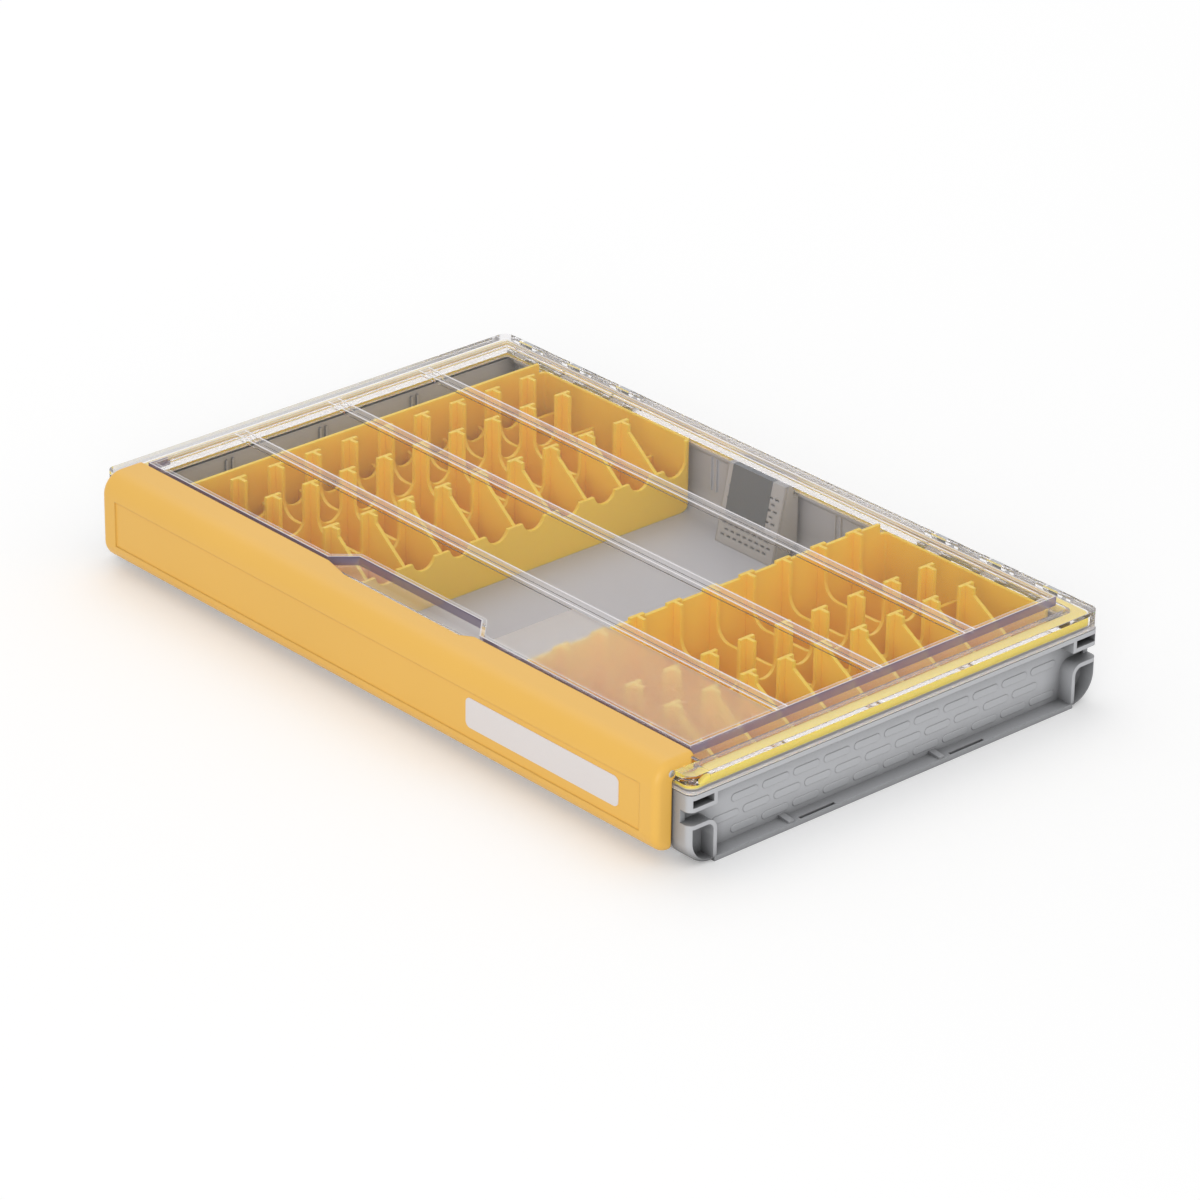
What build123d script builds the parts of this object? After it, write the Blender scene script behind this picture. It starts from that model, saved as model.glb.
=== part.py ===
from build123d import *

import os

# Lure box: a flat tray with a clear hinged lid, a full-width front latch, two lure racks
# and a moisture case. Millimetres. X runs along the latch, Y from the latch to the
# hinges, Z up. The origin is on the table, under the middle of the whole box.

# Overall sizes
BOX_LENGTH = 356.0
BASE_DEPTH = 218.0
BASE_HEIGHT = 31.3
LATCH_STAND = 9.25
HINGE_STAND = 3.75
HALF_X = BOX_LENGTH / 2
FRONT_Y = -(LATCH_STAND + BASE_DEPTH + HINGE_STAND) / 2
BASE_FRONT_Y = FRONT_Y + LATCH_STAND
BASE_BACK_Y = BASE_FRONT_Y + BASE_DEPTH

# Clearances
LID_GAP = 0.3
RUNNING_GAP = 0.05
SIDE_GAP = 0.3
LATCH_FACE_GAP = 1.05

# Base tray
WALL = 2.5
END_WALL = 2.0
FLOOR = 2.5
BOTTOM_RADIUS = 12.5
END_RECESS = 6.8
RECESS_FLANGE = 2.0
RIM_SHELF_REACH = 3.05
RIM_SHELF_HEIGHT = 3.0
TONGUE_HEIGHT = 0.6
TONGUE_WIDTH = 1.8
CORNER_LOOP_DEPTH = 14.0
UPPER_LOOP_HEIGHT = 7.0
LOOP_GROOVE_HEIGHT = 5.5
CORNER_FIN_REACH = 1.3
LOOP_WALL = 1.8
LOOP_POCKET_DEPTH = 7.0
LOOP_CORNER_RADIUS = 5.0
PLAN_CORNER_RADIUS = 3.0
FLANGE_SLOT_LENGTH = 18.5
FLANGE_SLOT_WIDTH = 1.5
FLANGE_SLOT_INSET = 0.9
FLANGE_SLOT_CENTRES = (-38.8, 41.2)
FLANGE_RIB_WIDTH = 3.0
FLANGE_RIB_HEIGHT = 1.4
FLANGE_RIB_STEP = 14.0
GUIDE_RIB = 1.0
GUIDE_SLOT = 2.2
GUIDE_REACH = 0.9
BACK_GUIDE_PITCH = 37.5
BACK_GUIDE_FIRST = -116.5
BACK_GUIDE_COUNT = 7
END_GUIDE_PITCH = 50.3
END_GUIDE_CENTRE = 1.5

# Lid
RIM_RISE = 8.2
PLATEAU_RISE = 4.0
PLATE = 1.8
RIM_PLATE = 1.6
RIM_WALL = 2.4
PLATEAU_END_INSET = 13.5
PLATEAU_FRONT_INSET = 12.0
PLATEAU_BACK_INSET = 11.0
FRONT_RIM_DROP = 1.0
STRENGTH_RIB_SPACING = 50.0
STRENGTH_RIB_WIDTH = 2.2
STRENGTH_RIB_GAP = 4.4
STRENGTH_RIB_HEIGHT = 0.4
SCOOP_LEFT_GAP = 1.3
SCOOP_RIGHT_GAP = 22.3
SCOOP_DEPTH = 9.5
SCOOP_SLOPE_LEFT = 8.2
SCOOP_SLOPE_RIGHT = 9.8
SEAL_CHANNEL_WALL = 1.5
CHANNEL_LIP = 1.2
LID_CORNER_RADIUS = 4.0

# Seal ring under the lid rim
SEAL_REST = 0.9
SEAL_THICKNESS = 2.0
SEAL_CROWN_THICKNESS = 2.5
SEAL_CROWN_GAP = 0.5
SEAL_END_WIDTH = 6.0
SEAL_SIDE_WIDTH = 4.0

# Lid hinge
HINGE_RADIUS = 2.5
HINGE_AXIS_Y = BASE_BACK_Y + HINGE_STAND - HINGE_RADIUS
HINGE_AXIS_RISE = 4.5
HINGE_PIN_RADIUS = 1.1
KNUCKLE_PITCH = 31.3
KNUCKLES_PER_GROUP = 3
KNUCKLE_GROUP_CENTRE = -5.5
KNUCKLE_GROUP_INSET = 51.4
BASE_KNUCKLE_WIDTH = 7.5
LID_EAR_WIDTH = 5.5
KNUCKLE_GAP = 0.3
KNUCKLE_ROOT_DROP = 7.3

# Latch
LATCH_END_INSET = 9.0
LATCH_WALL = 2.0
LATCH_TOP_PANEL = 1.6
LATCH_TOP_RADIUS = 9.5
LATCH_BOTTOM_RADIUS = 8.0
LATCH_BOTTOM = 5.5
LATCH_REAR_GAP = 1.95
LATCH_PIVOT_STAND = 8.0
LATCH_PIVOT_RISE = 7.0
LATCH_PIN_RADIUS = 1.2
LATCH_END_RADIUS = 3.0
EAR_FRONT_RISE = 5.1
EAR_REAR_RISE = 5.9
EAR_REAR_INSET = 1.4
EAR_CURVE_RADIUS = 2.2
POCKET_FLOOR_RISE = 3.5
POCKET_GAP = 0.3
POCKET_REAR_GAP = 0.7
POCKET_BLOCK = 1.8
LUG_WIDTH = 3.5
LUG_RADIUS = 2.7
THUMB_CUT_DEPTH = 3.5
THUMB_CUT_LEFT_INSET = 3.2
THUMB_CUT_RIGHT_INSET = 0.7
THUMB_CUT_LEFT_SLOPE = 14.0
THUMB_CUT_RIGHT_SLOPE = 5.0
PANEL_DEPTH = 0.5
PANEL_TOP_RISE = 2.2
PANEL_END_INSET = 9.0
HOOK_END_INSET = 59.0
HOOK_WIDTH = 26.0
HOOK_THICKNESS = 2.5
HOOK_TOP = 14.7
HOOK_CLEARANCE = 0.3
CATCH_REACH = 1.35
CATCH_HEIGHT = 2.0
HOOK_RIB_WIDTH = 1.6
LABEL_LENGTH = 87.5
LABEL_HEIGHT = 12.8
LABEL_RADIUS = 2.5
LABEL_THICKNESS = 0.3
LABEL_END_INSET = 64.6
LABEL_DROP = 9.0

# Lure racks
RACK_LENGTH_X = 93.3
RACK_WALL_GAP = 5.75
RACK_WALL = 1.6
RACK_FLOOR = 1.5
RACK_WALL_DROP = 3.8
RACK_POST_DROP = 2.5
RACK_END_RISE = 3.7
RACK_FOOT_RADIUS = 6.0
RACK_CORNER_RADIUS = 3.0
ROW_PITCH = 19.6
ROW_ORIGIN = -13.8
FIRST_ROW = -3
LAST_ROW = 5
LURE_SLOT_WIDTH = 12.0
LURE_SLOT_BOTTOM = 19.9
POST_ARM = 5.0
BRACE_DROP = 5.7
LOW_WALL_PEAK = 24.5
ROW_DIP_RADIUS = 7.0
LEFT_RACK_INSET = 35.2
RIGHT_RACK_INSET = 18.2
LEFT_RACK_COLUMNS = (10.3, 32.8, 70.1)
RIGHT_RACK_COLUMNS = (0.8, 42.5, 64.5)

# Moisture case
CASE_RACK_GAP = 28.5
CASE_LENGTH = 34.0
CASE_RISE = 5.2
CASE_FOOT_DEPTH = 14.7
CASE_TOP_DEPTH = 4.75
CASE_BACK_GAP = 0.5
CASE_LID_GAP = 0.9
CASE_HEEL = 7.0
CASE_WALL = 1.2
CASE_COVER_THICKNESS = 1.4
CASE_LABEL_LENGTH = 23.5
CASE_LABEL_INSET = 3.0
CASE_LABEL_DROP = 21.0
CASE_LABEL_THICKNESS = 0.2
CASE_SLOT_LENGTH = 2.2
CASE_SLOT_HEIGHT = 0.8
CASE_SLOT_PITCH_X = 3.6
CASE_SLOT_PITCH_Z = 2.6
CASE_SLOT_ROWS = 10
CASE_SLOT_COLUMNS = 8

# Values worked out from the sizes above
LID_BOTTOM = BASE_HEIGHT + LID_GAP
RIM_TOP = BASE_HEIGHT + RIM_RISE
LID_TOP = RIM_TOP + PLATEAU_RISE
SEAL_BOTTOM = BASE_HEIGHT + SEAL_REST
SEAL_TOP = SEAL_BOTTOM + SEAL_THICKNESS
SEAL_CROWN_TOP = SEAL_TOP + SEAL_CROWN_THICKNESS
HINGE_AXIS_Z = BASE_HEIGHT + HINGE_AXIS_RISE
BASE_KNUCKLE_ROOT = BASE_HEIGHT - KNUCKLE_ROOT_DROP
LATCH_PIVOT_Z = BASE_HEIGHT + LATCH_PIVOT_RISE
EAR_BOTTOM_FRONT = BASE_HEIGHT + EAR_FRONT_RISE
EAR_BOTTOM_REAR = BASE_HEIGHT + EAR_REAR_RISE
POCKET_FLOOR = BASE_HEIGHT + POCKET_FLOOR_RISE
PANEL_TOP = BASE_HEIGHT + PANEL_TOP_RISE
LABEL_CENTRE_Z = PANEL_TOP - LABEL_DROP
RACK_WALL_TOP = LID_TOP - RACK_WALL_DROP
RACK_POST_TOP = LID_TOP - RACK_POST_DROP
RACK_END_TOP = BASE_HEIGHT + RACK_END_RISE
BRACE_TOP = LID_TOP - BRACE_DROP
CASE_TOP = BASE_HEIGHT + CASE_RISE
PLATEAU_X = HALF_X - PLATEAU_END_INSET
PLATEAU_FRONT_Y = BASE_FRONT_Y + PLATEAU_FRONT_INSET
PLATEAU_BACK_Y = BASE_BACK_Y - PLATEAU_BACK_INSET
FRONT_RIM_TOP = RIM_TOP - FRONT_RIM_DROP
INNER_X = HALF_X - END_RECESS - END_WALL
INNER_FRONT_Y = BASE_FRONT_Y + WALL
INNER_BACK_Y = BASE_BACK_Y - WALL
LATCH_X = HALF_X - LATCH_END_INSET
LATCH_REAR_Y = PLATEAU_FRONT_Y - LATCH_REAR_GAP
LATCH_PIVOT_Y = FRONT_Y + LATCH_PIVOT_STAND
LATCH_EDGE_Y = BASE_FRONT_Y - LATCH_FACE_GAP
EAR_REAR_Y = LATCH_REAR_Y - EAR_REAR_INSET
POCKET_INNER_X = LATCH_X - LATCH_WALL - POCKET_GAP
POCKET_OUTER_X = LATCH_X + POCKET_GAP
POCKET_REAR_Y = EAR_REAR_Y + POCKET_REAR_GAP
CATCH_NOSE_Y = BASE_FRONT_Y - CATCH_REACH
CASE_BACK_Y = INNER_BACK_Y - RIM_SHELF_REACH - CASE_BACK_GAP
CASE_TOP_BACK_Y = BASE_BACK_Y - RIM_WALL - SEAL_SIDE_WIDTH - SEAL_CHANNEL_WALL - CASE_LID_GAP
CASE_FOOT_FRONT_Y = CASE_BACK_Y - CASE_FOOT_DEPTH
CASE_TOP_FRONT_Y = CASE_TOP_BACK_Y - CASE_TOP_DEPTH
RACK_FRONT_Y = INNER_FRONT_Y + RACK_WALL_GAP
RACK_BACK_Y = INNER_BACK_Y - RACK_WALL_GAP
LEFT_RACK_X = -HALF_X + LEFT_RACK_INSET
RIGHT_RACK_X = HALF_X - RIGHT_RACK_INSET - RACK_LENGTH_X
CASE_LEFT_X = LEFT_RACK_X + RACK_LENGTH_X + CASE_RACK_GAP
SCOOP_LEFT = LEFT_RACK_X + RACK_LENGTH_X + SCOOP_LEFT_GAP
SCOOP_RIGHT = RIGHT_RACK_X - SCOOP_RIGHT_GAP
THUMB_CUT_LEFT = SCOOP_LEFT + THUMB_CUT_LEFT_INSET
THUMB_CUT_RIGHT = SCOOP_RIGHT - THUMB_CUT_RIGHT_INSET
KNUCKLE_GROUP_OFFSET = HALF_X - KNUCKLE_GROUP_INSET
HOOK_CENTRES = (HOOK_END_INSET - LATCH_X, 0.0, LATCH_X - HOOK_END_INSET)
LABEL_CENTRE_X = LATCH_X - LABEL_END_INSET
ENDS = (-1, 1)


def block(x0, x1, y0, y1, z0, z1):
    """A box between two corners."""
    centre = ((x0 + x1) / 2, (y0 + y1) / 2, (z0 + z1) / 2)
    return Pos(*centre) * Box(abs(x1 - x0), abs(y1 - y0), abs(z1 - z0))


def along_x(face_sketch, x0, x1):
    """A Y-Z outline carried from x0 to x1."""
    return extrude(Plane.YZ.offset(x0) * face_sketch, x1 - x0)


def along_y(face_sketch, y0, y1):
    """An X-Z outline carried from y0 to y1."""
    return extrude(Plane.XZ.offset(-y1) * face_sketch, y1 - y0)


def along_z(face_sketch, z0, z1):
    """An X-Y outline carried from z0 to z1."""
    return extrude(Plane.XY.offset(z0) * face_sketch, z1 - z0)


def polygon(*points):
    """A filled outline through points."""
    return make_face(Polyline(*points, close=True))


def rectangle(x0, x1, y0, y1):
    """A filled rectangle between two corners of a plane."""
    return Pos((x0 + x1) / 2, (y0 + y1) / 2) * Rectangle(x1 - x0, y1 - y0)


def rounded_rectangle(x0, x1, y0, y1, radius):
    """A filled rectangle between two corners, its own corners rounded."""
    return Pos((x0 + x1) / 2, (y0 + y1) / 2) * RectangleRounded(x1 - x0, y1 - y0, radius)


def rod_x(x0, x1, y, z, radius):
    """A round rod along X."""
    return along_x(Pos(y, z) * Circle(radius), x0, x1)


def fillet_where(solid, axis, radius, test):
    """Round the edges along one axis whose middle passes the test."""
    picked = [edge for edge in solid.edges().filter_by(axis) if test(edge.center())]
    return fillet(picked, radius)


def ring(outer, inner, z0, z1):
    """An upright ring between two X-Y outlines."""
    return along_z(outer, z0, z1) - along_z(inner, z0 - 1, z1 + 1)


def inset_outline(end_inset, side_inset, radius):
    """The lid's plan outline moved inwards, more or less at the ends than at the sides."""
    return rounded_rectangle(
        -HALF_X + end_inset,
        HALF_X - end_inset,
        BASE_FRONT_Y + side_inset,
        BASE_BACK_Y - side_inset,
        radius,
    )


def knuckle_centres(side):
    """The x of each base knuckle of the left (-1) or right (1) hinge."""
    middle = KNUCKLE_GROUP_CENTRE + side * KNUCKLE_GROUP_OFFSET
    first = middle - KNUCKLE_PITCH * (KNUCKLES_PER_GROUP - 1) / 2
    return [first + KNUCKLE_PITCH * i for i in range(KNUCKLES_PER_GROUP)]


def tray_outline():
    """The tray's Y-Z section outside, its two lower corners rounded."""
    sketch = rectangle(BASE_FRONT_Y, BASE_BACK_Y, 0, BASE_HEIGHT)
    lower = sketch.vertices().sort_by(Axis.Y)[:2]
    return fillet(lower, BOTTOM_RADIUS)


def tray_hollow():
    """The tray's Y-Z section inside, open at the top."""
    sketch = rectangle(INNER_FRONT_Y, INNER_BACK_Y, FLOOR, BASE_HEIGHT + 1)
    lower = sketch.vertices().sort_by(Axis.Y)[:2]
    return fillet(lower, BOTTOM_RADIUS - WALL)


def rim_shelf(wall_y, inward):
    """The thicker top of the front or back wall, which carries the sealing tongue."""
    reach = wall_y + inward * RIM_SHELF_REACH
    sketch = polygon(
        (wall_y - inward, BASE_HEIGHT),
        (reach, BASE_HEIGHT),
        (reach, BASE_HEIGHT - 1),
        (wall_y, BASE_HEIGHT - RIM_SHELF_HEIGHT - 1),
        (wall_y - inward, BASE_HEIGHT - RIM_SHELF_HEIGHT - 1),
    )
    return along_x(sketch, -INNER_X - 1, INNER_X + 1)


def lower_loop_outline(inset):
    """The tall pocket's Y-Z outline at the front corner, moved inwards by inset."""
    top = BASE_HEIGHT - UPPER_LOOP_HEIGHT - LOOP_GROOVE_HEIGHT
    sketch = rectangle(
        BASE_FRONT_Y + inset,
        BASE_FRONT_Y + CORNER_LOOP_DEPTH - inset,
        inset,
        top - inset,
    )
    corners = sketch.vertices()
    outer_foot = corners.sort_by(Axis.Y)[:2].sort_by(Axis.X)[0]
    widest = CORNER_LOOP_DEPTH - 2 * inset - 0.3
    sketch = fillet(outer_foot, min(BOTTOM_RADIUS - inset, widest))
    inner_top = sketch.vertices().sort_by(Axis.X)[-2:].sort_by(Axis.Y)[-1]
    return fillet(inner_top, LOOP_CORNER_RADIUS - inset)


def corner_loops(side):
    """The two hollow blocks that stand out at the front corner of one end."""
    inner_x = side * (HALF_X - END_RECESS - 1)
    outer_x = side * HALF_X
    low_x = min(inner_x, outer_x)
    high_x = max(inner_x, outer_x)
    upper_foot = BASE_HEIGHT - UPPER_LOOP_HEIGHT
    inner_y = BASE_FRONT_Y + CORNER_LOOP_DEPTH
    upper = block(low_x, high_x, BASE_FRONT_Y, inner_y, upper_foot, BASE_HEIGHT)
    lower = along_x(lower_loop_outline(0), low_x, high_x)
    loops = upper + lower
    loops = fillet_where(
        loops,
        Axis.Z,
        PLAN_CORNER_RADIUS,
        lambda c: abs(abs(c.X) - HALF_X) < 0.1 and abs(c.Y - BASE_FRONT_Y) < 0.1,
    )
    fin_x = side * (HALF_X - END_RECESS + CORNER_FIN_REACH)
    fin_foot = upper_foot - LOOP_GROOVE_HEIGHT - 1
    fin = block(inner_x, fin_x, BASE_FRONT_Y, BASE_FRONT_Y + WALL, fin_foot, upper_foot + 1)
    pocket_x = side * (HALF_X - LOOP_POCKET_DEPTH)
    low_p = min(pocket_x, outer_x + side)
    high_p = max(pocket_x, outer_x + side)
    upper_pocket = block(
        low_p,
        high_p,
        BASE_FRONT_Y + LOOP_WALL,
        inner_y - LOOP_WALL,
        upper_foot + LOOP_WALL,
        BASE_HEIGHT - RECESS_FLANGE,
    )
    lower_pocket = along_x(lower_loop_outline(LOOP_WALL), low_p, high_p)
    return loops + fin - upper_pocket - lower_pocket


def end_flange(side, z0, z1):
    """A flat flange that joins the two corners of one end."""
    inner_x = side * (HALF_X - END_RECESS - 1)
    inset = CORNER_LOOP_DEPTH - 1
    return block(inner_x, side * HALF_X, BASE_FRONT_Y + inset, BASE_BACK_Y - inset, z0, z1)


def flange_slot(side, y):
    """A narrow slot through the bottom flange near its outer edge."""
    outer = HALF_X - FLANGE_SLOT_INSET
    return block(
        side * (outer - FLANGE_SLOT_WIDTH),
        side * outer,
        y - FLANGE_SLOT_LENGTH / 2,
        y + FLANGE_SLOT_LENGTH / 2,
        -1,
        RECESS_FLANGE + 1,
    )


def flange_rib(side, y):
    """A low stiffening rib across the bottom flange, sloping down to its outer edge."""
    wall_x = HALF_X - END_RECESS - 0.5
    edge_x = HALF_X - FLANGE_SLOT_INSET
    sketch = polygon(
        (side * wall_x, RECESS_FLANGE - 0.5),
        (side * edge_x, RECESS_FLANGE - 0.5),
        (side * edge_x, RECESS_FLANGE + FLANGE_RIB_HEIGHT / 2),
        (side * wall_x, RECESS_FLANGE + FLANGE_RIB_HEIGHT),
    )
    return along_y(sketch, y - FLANGE_RIB_WIDTH / 2, y + FLANGE_RIB_WIDTH / 2)


def mirrored_to_back(solid):
    """The same solid at the back wall instead of the front wall."""
    middle = (BASE_FRONT_Y + BASE_BACK_Y) / 2
    return mirror(solid, Plane.XZ.offset(-middle))


def wall_guides():
    """Pairs of upright ribs on the tray's inner walls, which would hold dividers."""
    low = FLOOR + BOTTOM_RADIUS - WALL
    high = BASE_HEIGHT - RIM_SHELF_HEIGHT
    offset = (GUIDE_SLOT + GUIDE_RIB) / 2
    ribs = []
    for i in range(BACK_GUIDE_COUNT):
        for step in (-offset, offset):
            x = BACK_GUIDE_FIRST + BACK_GUIDE_PITCH * i + step
            for wall_y, inward in ((INNER_FRONT_Y, 1), (INNER_BACK_Y, -1)):
                ribs.append(
                    block(
                        x - GUIDE_RIB / 2,
                        x + GUIDE_RIB / 2,
                        wall_y - inward,
                        wall_y + inward * GUIDE_REACH,
                        low,
                        high,
                    )
                )
    for side in ENDS:
        for i in (-1, 0, 1):
            for step in (-offset, offset):
                y = END_GUIDE_CENTRE + END_GUIDE_PITCH * i + step
                ribs.append(
                    block(
                        side * (INNER_X - GUIDE_REACH),
                        side * (INNER_X + 1),
                        y - GUIDE_RIB / 2,
                        y + GUIDE_RIB / 2,
                        FLOOR - 1,
                        BASE_HEIGHT - RECESS_FLANGE,
                    )
                )
    return ribs


def sealing_tongue():
    """The low ridge on the tray's rim that presses into the seal ring."""
    end_centre = RIM_WALL + SEAL_END_WIDTH / 2
    side_centre = RIM_WALL + SEAL_SIDE_WIDTH / 2
    half = TONGUE_WIDTH / 2
    outer = inset_outline(end_centre - half, side_centre - half, LID_CORNER_RADIUS)
    inner = inset_outline(end_centre + half, side_centre + half, LID_CORNER_RADIUS)
    return ring(outer, inner, BASE_HEIGHT - 0.5, BASE_HEIGHT + TONGUE_HEIGHT)


def base_knuckle(x):
    """One fixed knuckle: an arm up the back wall that ends in a barrel round the pin."""
    barrel_front = HINGE_AXIS_Y - HINGE_RADIUS
    barrel_back = HINGE_AXIS_Y + HINGE_RADIUS
    arm = polygon(
        (BASE_BACK_Y - 1, BASE_KNUCKLE_ROOT - HINGE_STAND),
        (BASE_BACK_Y, BASE_KNUCKLE_ROOT - HINGE_STAND),
        (barrel_back, BASE_KNUCKLE_ROOT),
        (barrel_back, HINGE_AXIS_Z),
        (barrel_front, HINGE_AXIS_Z),
        (barrel_front, BASE_HEIGHT - 1),
        (BASE_BACK_Y - 1, BASE_HEIGHT - 1),
    )
    x0 = x - BASE_KNUCKLE_WIDTH / 2
    x1 = x + BASE_KNUCKLE_WIDTH / 2
    return along_x(arm, x0, x1) + rod_x(x0, x1, HINGE_AXIS_Y, HINGE_AXIS_Z, HINGE_RADIUS)


def front_catch(x):
    """A ledge on the front wall that the latch's hook goes under."""
    return block(
        x - HOOK_WIDTH / 2,
        x + HOOK_WIDTH / 2,
        CATCH_NOSE_Y,
        BASE_FRONT_Y + 1,
        HOOK_TOP + HOOK_CLEARANCE,
        HOOK_TOP + HOOK_CLEARANCE + CATCH_HEIGHT,
    )


def make_base_shell():
    """The grey tray with recessed ends, corner loops, tongue, hinge knuckles and catches."""
    tub_x = HALF_X - END_RECESS
    shell = along_x(tray_outline(), -tub_x, tub_x) - along_x(tray_hollow(), -INNER_X, INNER_X)
    shell += [rim_shelf(INNER_FRONT_Y, 1), rim_shelf(INNER_BACK_Y, -1)]
    for side in ENDS:
        loops = corner_loops(side)
        shell += [loops, mirrored_to_back(loops)]
        shell += end_flange(side, BASE_HEIGHT - RECESS_FLANGE, BASE_HEIGHT)
        shell += end_flange(side, 0, RECESS_FLANGE)
        for y in FLANGE_SLOT_CENTRES:
            shell += flange_rib(side, y - FLANGE_RIB_STEP)
            shell -= flange_slot(side, y)
    shell += wall_guides()
    shell += sealing_tongue()
    shell += [front_catch(x) for x in HOOK_CENTRES]
    for side in ENDS:
        for x in knuckle_centres(side):
            shell += base_knuckle(x)
        shell -= hinge_pin(side)
    return shell


def hinge_pin(side):
    """The steel pin through one group of knuckles."""
    centres = knuckle_centres(side)
    reach = BASE_KNUCKLE_WIDTH / 2 + KNUCKLE_GAP + LID_EAR_WIDTH
    return rod_x(
        centres[0] - reach,
        centres[-1] + reach,
        HINGE_AXIS_Y,
        HINGE_AXIS_Z,
        HINGE_PIN_RADIUS,
    )


def plateau_outline():
    """The raised middle of the lid in plan, with the scoop behind the latch's thumb cut."""
    scoop_y = PLATEAU_FRONT_Y + SCOOP_DEPTH
    return polygon(
        (-PLATEAU_X, PLATEAU_FRONT_Y),
        (SCOOP_LEFT, PLATEAU_FRONT_Y),
        (SCOOP_LEFT + SCOOP_SLOPE_LEFT, scoop_y),
        (SCOOP_RIGHT - SCOOP_SLOPE_RIGHT, scoop_y),
        (SCOOP_RIGHT, PLATEAU_FRONT_Y),
        (PLATEAU_X, PLATEAU_FRONT_Y),
        (PLATEAU_X, PLATEAU_BACK_Y),
        (-PLATEAU_X, PLATEAU_BACK_Y),
    )


def plateau_hollow():
    """The room under the raised middle of the lid."""
    return offset(plateau_outline(), -PLATE, kind=Kind.INTERSECTION)


def strength_ribs():
    """Three pairs of low ridges across the lid."""
    middle = (PLATEAU_FRONT_Y + PLATEAU_BACK_Y) / 2
    ribs = []
    for i in (-1, 0, 1):
        for step in (-STRENGTH_RIB_GAP / 2, STRENGTH_RIB_GAP / 2):
            y = middle + STRENGTH_RIB_SPACING * i + step
            low = y - STRENGTH_RIB_WIDTH / 2
            high = y + STRENGTH_RIB_WIDTH / 2
            under = LID_TOP - PLATE
            foot = under - STRENGTH_RIB_HEIGHT
            ribs.append(block(-PLATEAU_X + 1, PLATEAU_X - 1, low, high, foot, under + 0.5))
    return ribs


def lid_ear(x, direction):
    """One ear of the lid beside a base knuckle, on the side given by direction."""
    near = x + direction * (BASE_KNUCKLE_WIDTH / 2 + KNUCKLE_GAP)
    far = near + direction * LID_EAR_WIDTH
    x0 = min(near, far)
    x1 = max(near, far)
    web = block(
        x0,
        x1,
        BASE_BACK_Y - RIM_WALL / 2,
        HINGE_AXIS_Y,
        HINGE_AXIS_Z - HINGE_RADIUS,
        HINGE_AXIS_Z + HINGE_RADIUS,
    )
    return web + rod_x(x0, x1, HINGE_AXIS_Y, HINGE_AXIS_Z, HINGE_RADIUS)


def knuckle_notch(x):
    """The cut in the lid's back rim that lets a base knuckle through."""
    half = BASE_KNUCKLE_WIDTH / 2 + KNUCKLE_GAP
    front = HINGE_AXIS_Y - HINGE_RADIUS - SIDE_GAP
    return block(x - half, x + half, front, BASE_BACK_Y + 1, LID_BOTTOM - 1, RIM_TOP + 1)


def ear_pocket_block(side):
    """The solid part of the front rim round the pocket for a latch ear."""
    return block(
        side * (POCKET_INNER_X - POCKET_BLOCK),
        side * (POCKET_OUTER_X + POCKET_BLOCK),
        BASE_FRONT_Y + RIM_WALL / 2,
        POCKET_REAR_Y + POCKET_BLOCK,
        SEAL_TOP,
        FRONT_RIM_TOP,
    )


def ear_pocket(side):
    """The pocket in the front rim in which a latch ear swings."""
    return block(
        side * POCKET_INNER_X,
        side * POCKET_OUTER_X,
        BASE_FRONT_Y - 1,
        POCKET_REAR_Y,
        POCKET_FLOOR,
        LID_TOP + 1,
    )


def latch_lug(side):
    """The tab on the front rim that carries one latch pin."""
    outer_x = side * POCKET_INNER_X
    inner_x = outer_x - side * LUG_WIDTH
    x0 = min(outer_x, inner_x)
    x1 = max(outer_x, inner_x)
    tab = block(
        x0,
        x1,
        LATCH_PIVOT_Y,
        BASE_FRONT_Y + RIM_WALL / 2,
        LATCH_PIVOT_Z - LUG_RADIUS,
        FRONT_RIM_TOP,
    )
    eye = rod_x(x0, x1, LATCH_PIVOT_Y, LATCH_PIVOT_Z, LUG_RADIUS)
    bore = rod_x(x0 - 1, x1 + 1, LATCH_PIVOT_Y, LATCH_PIVOT_Z, LATCH_PIN_RADIUS + RUNNING_GAP)
    return tab + eye, bore


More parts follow.
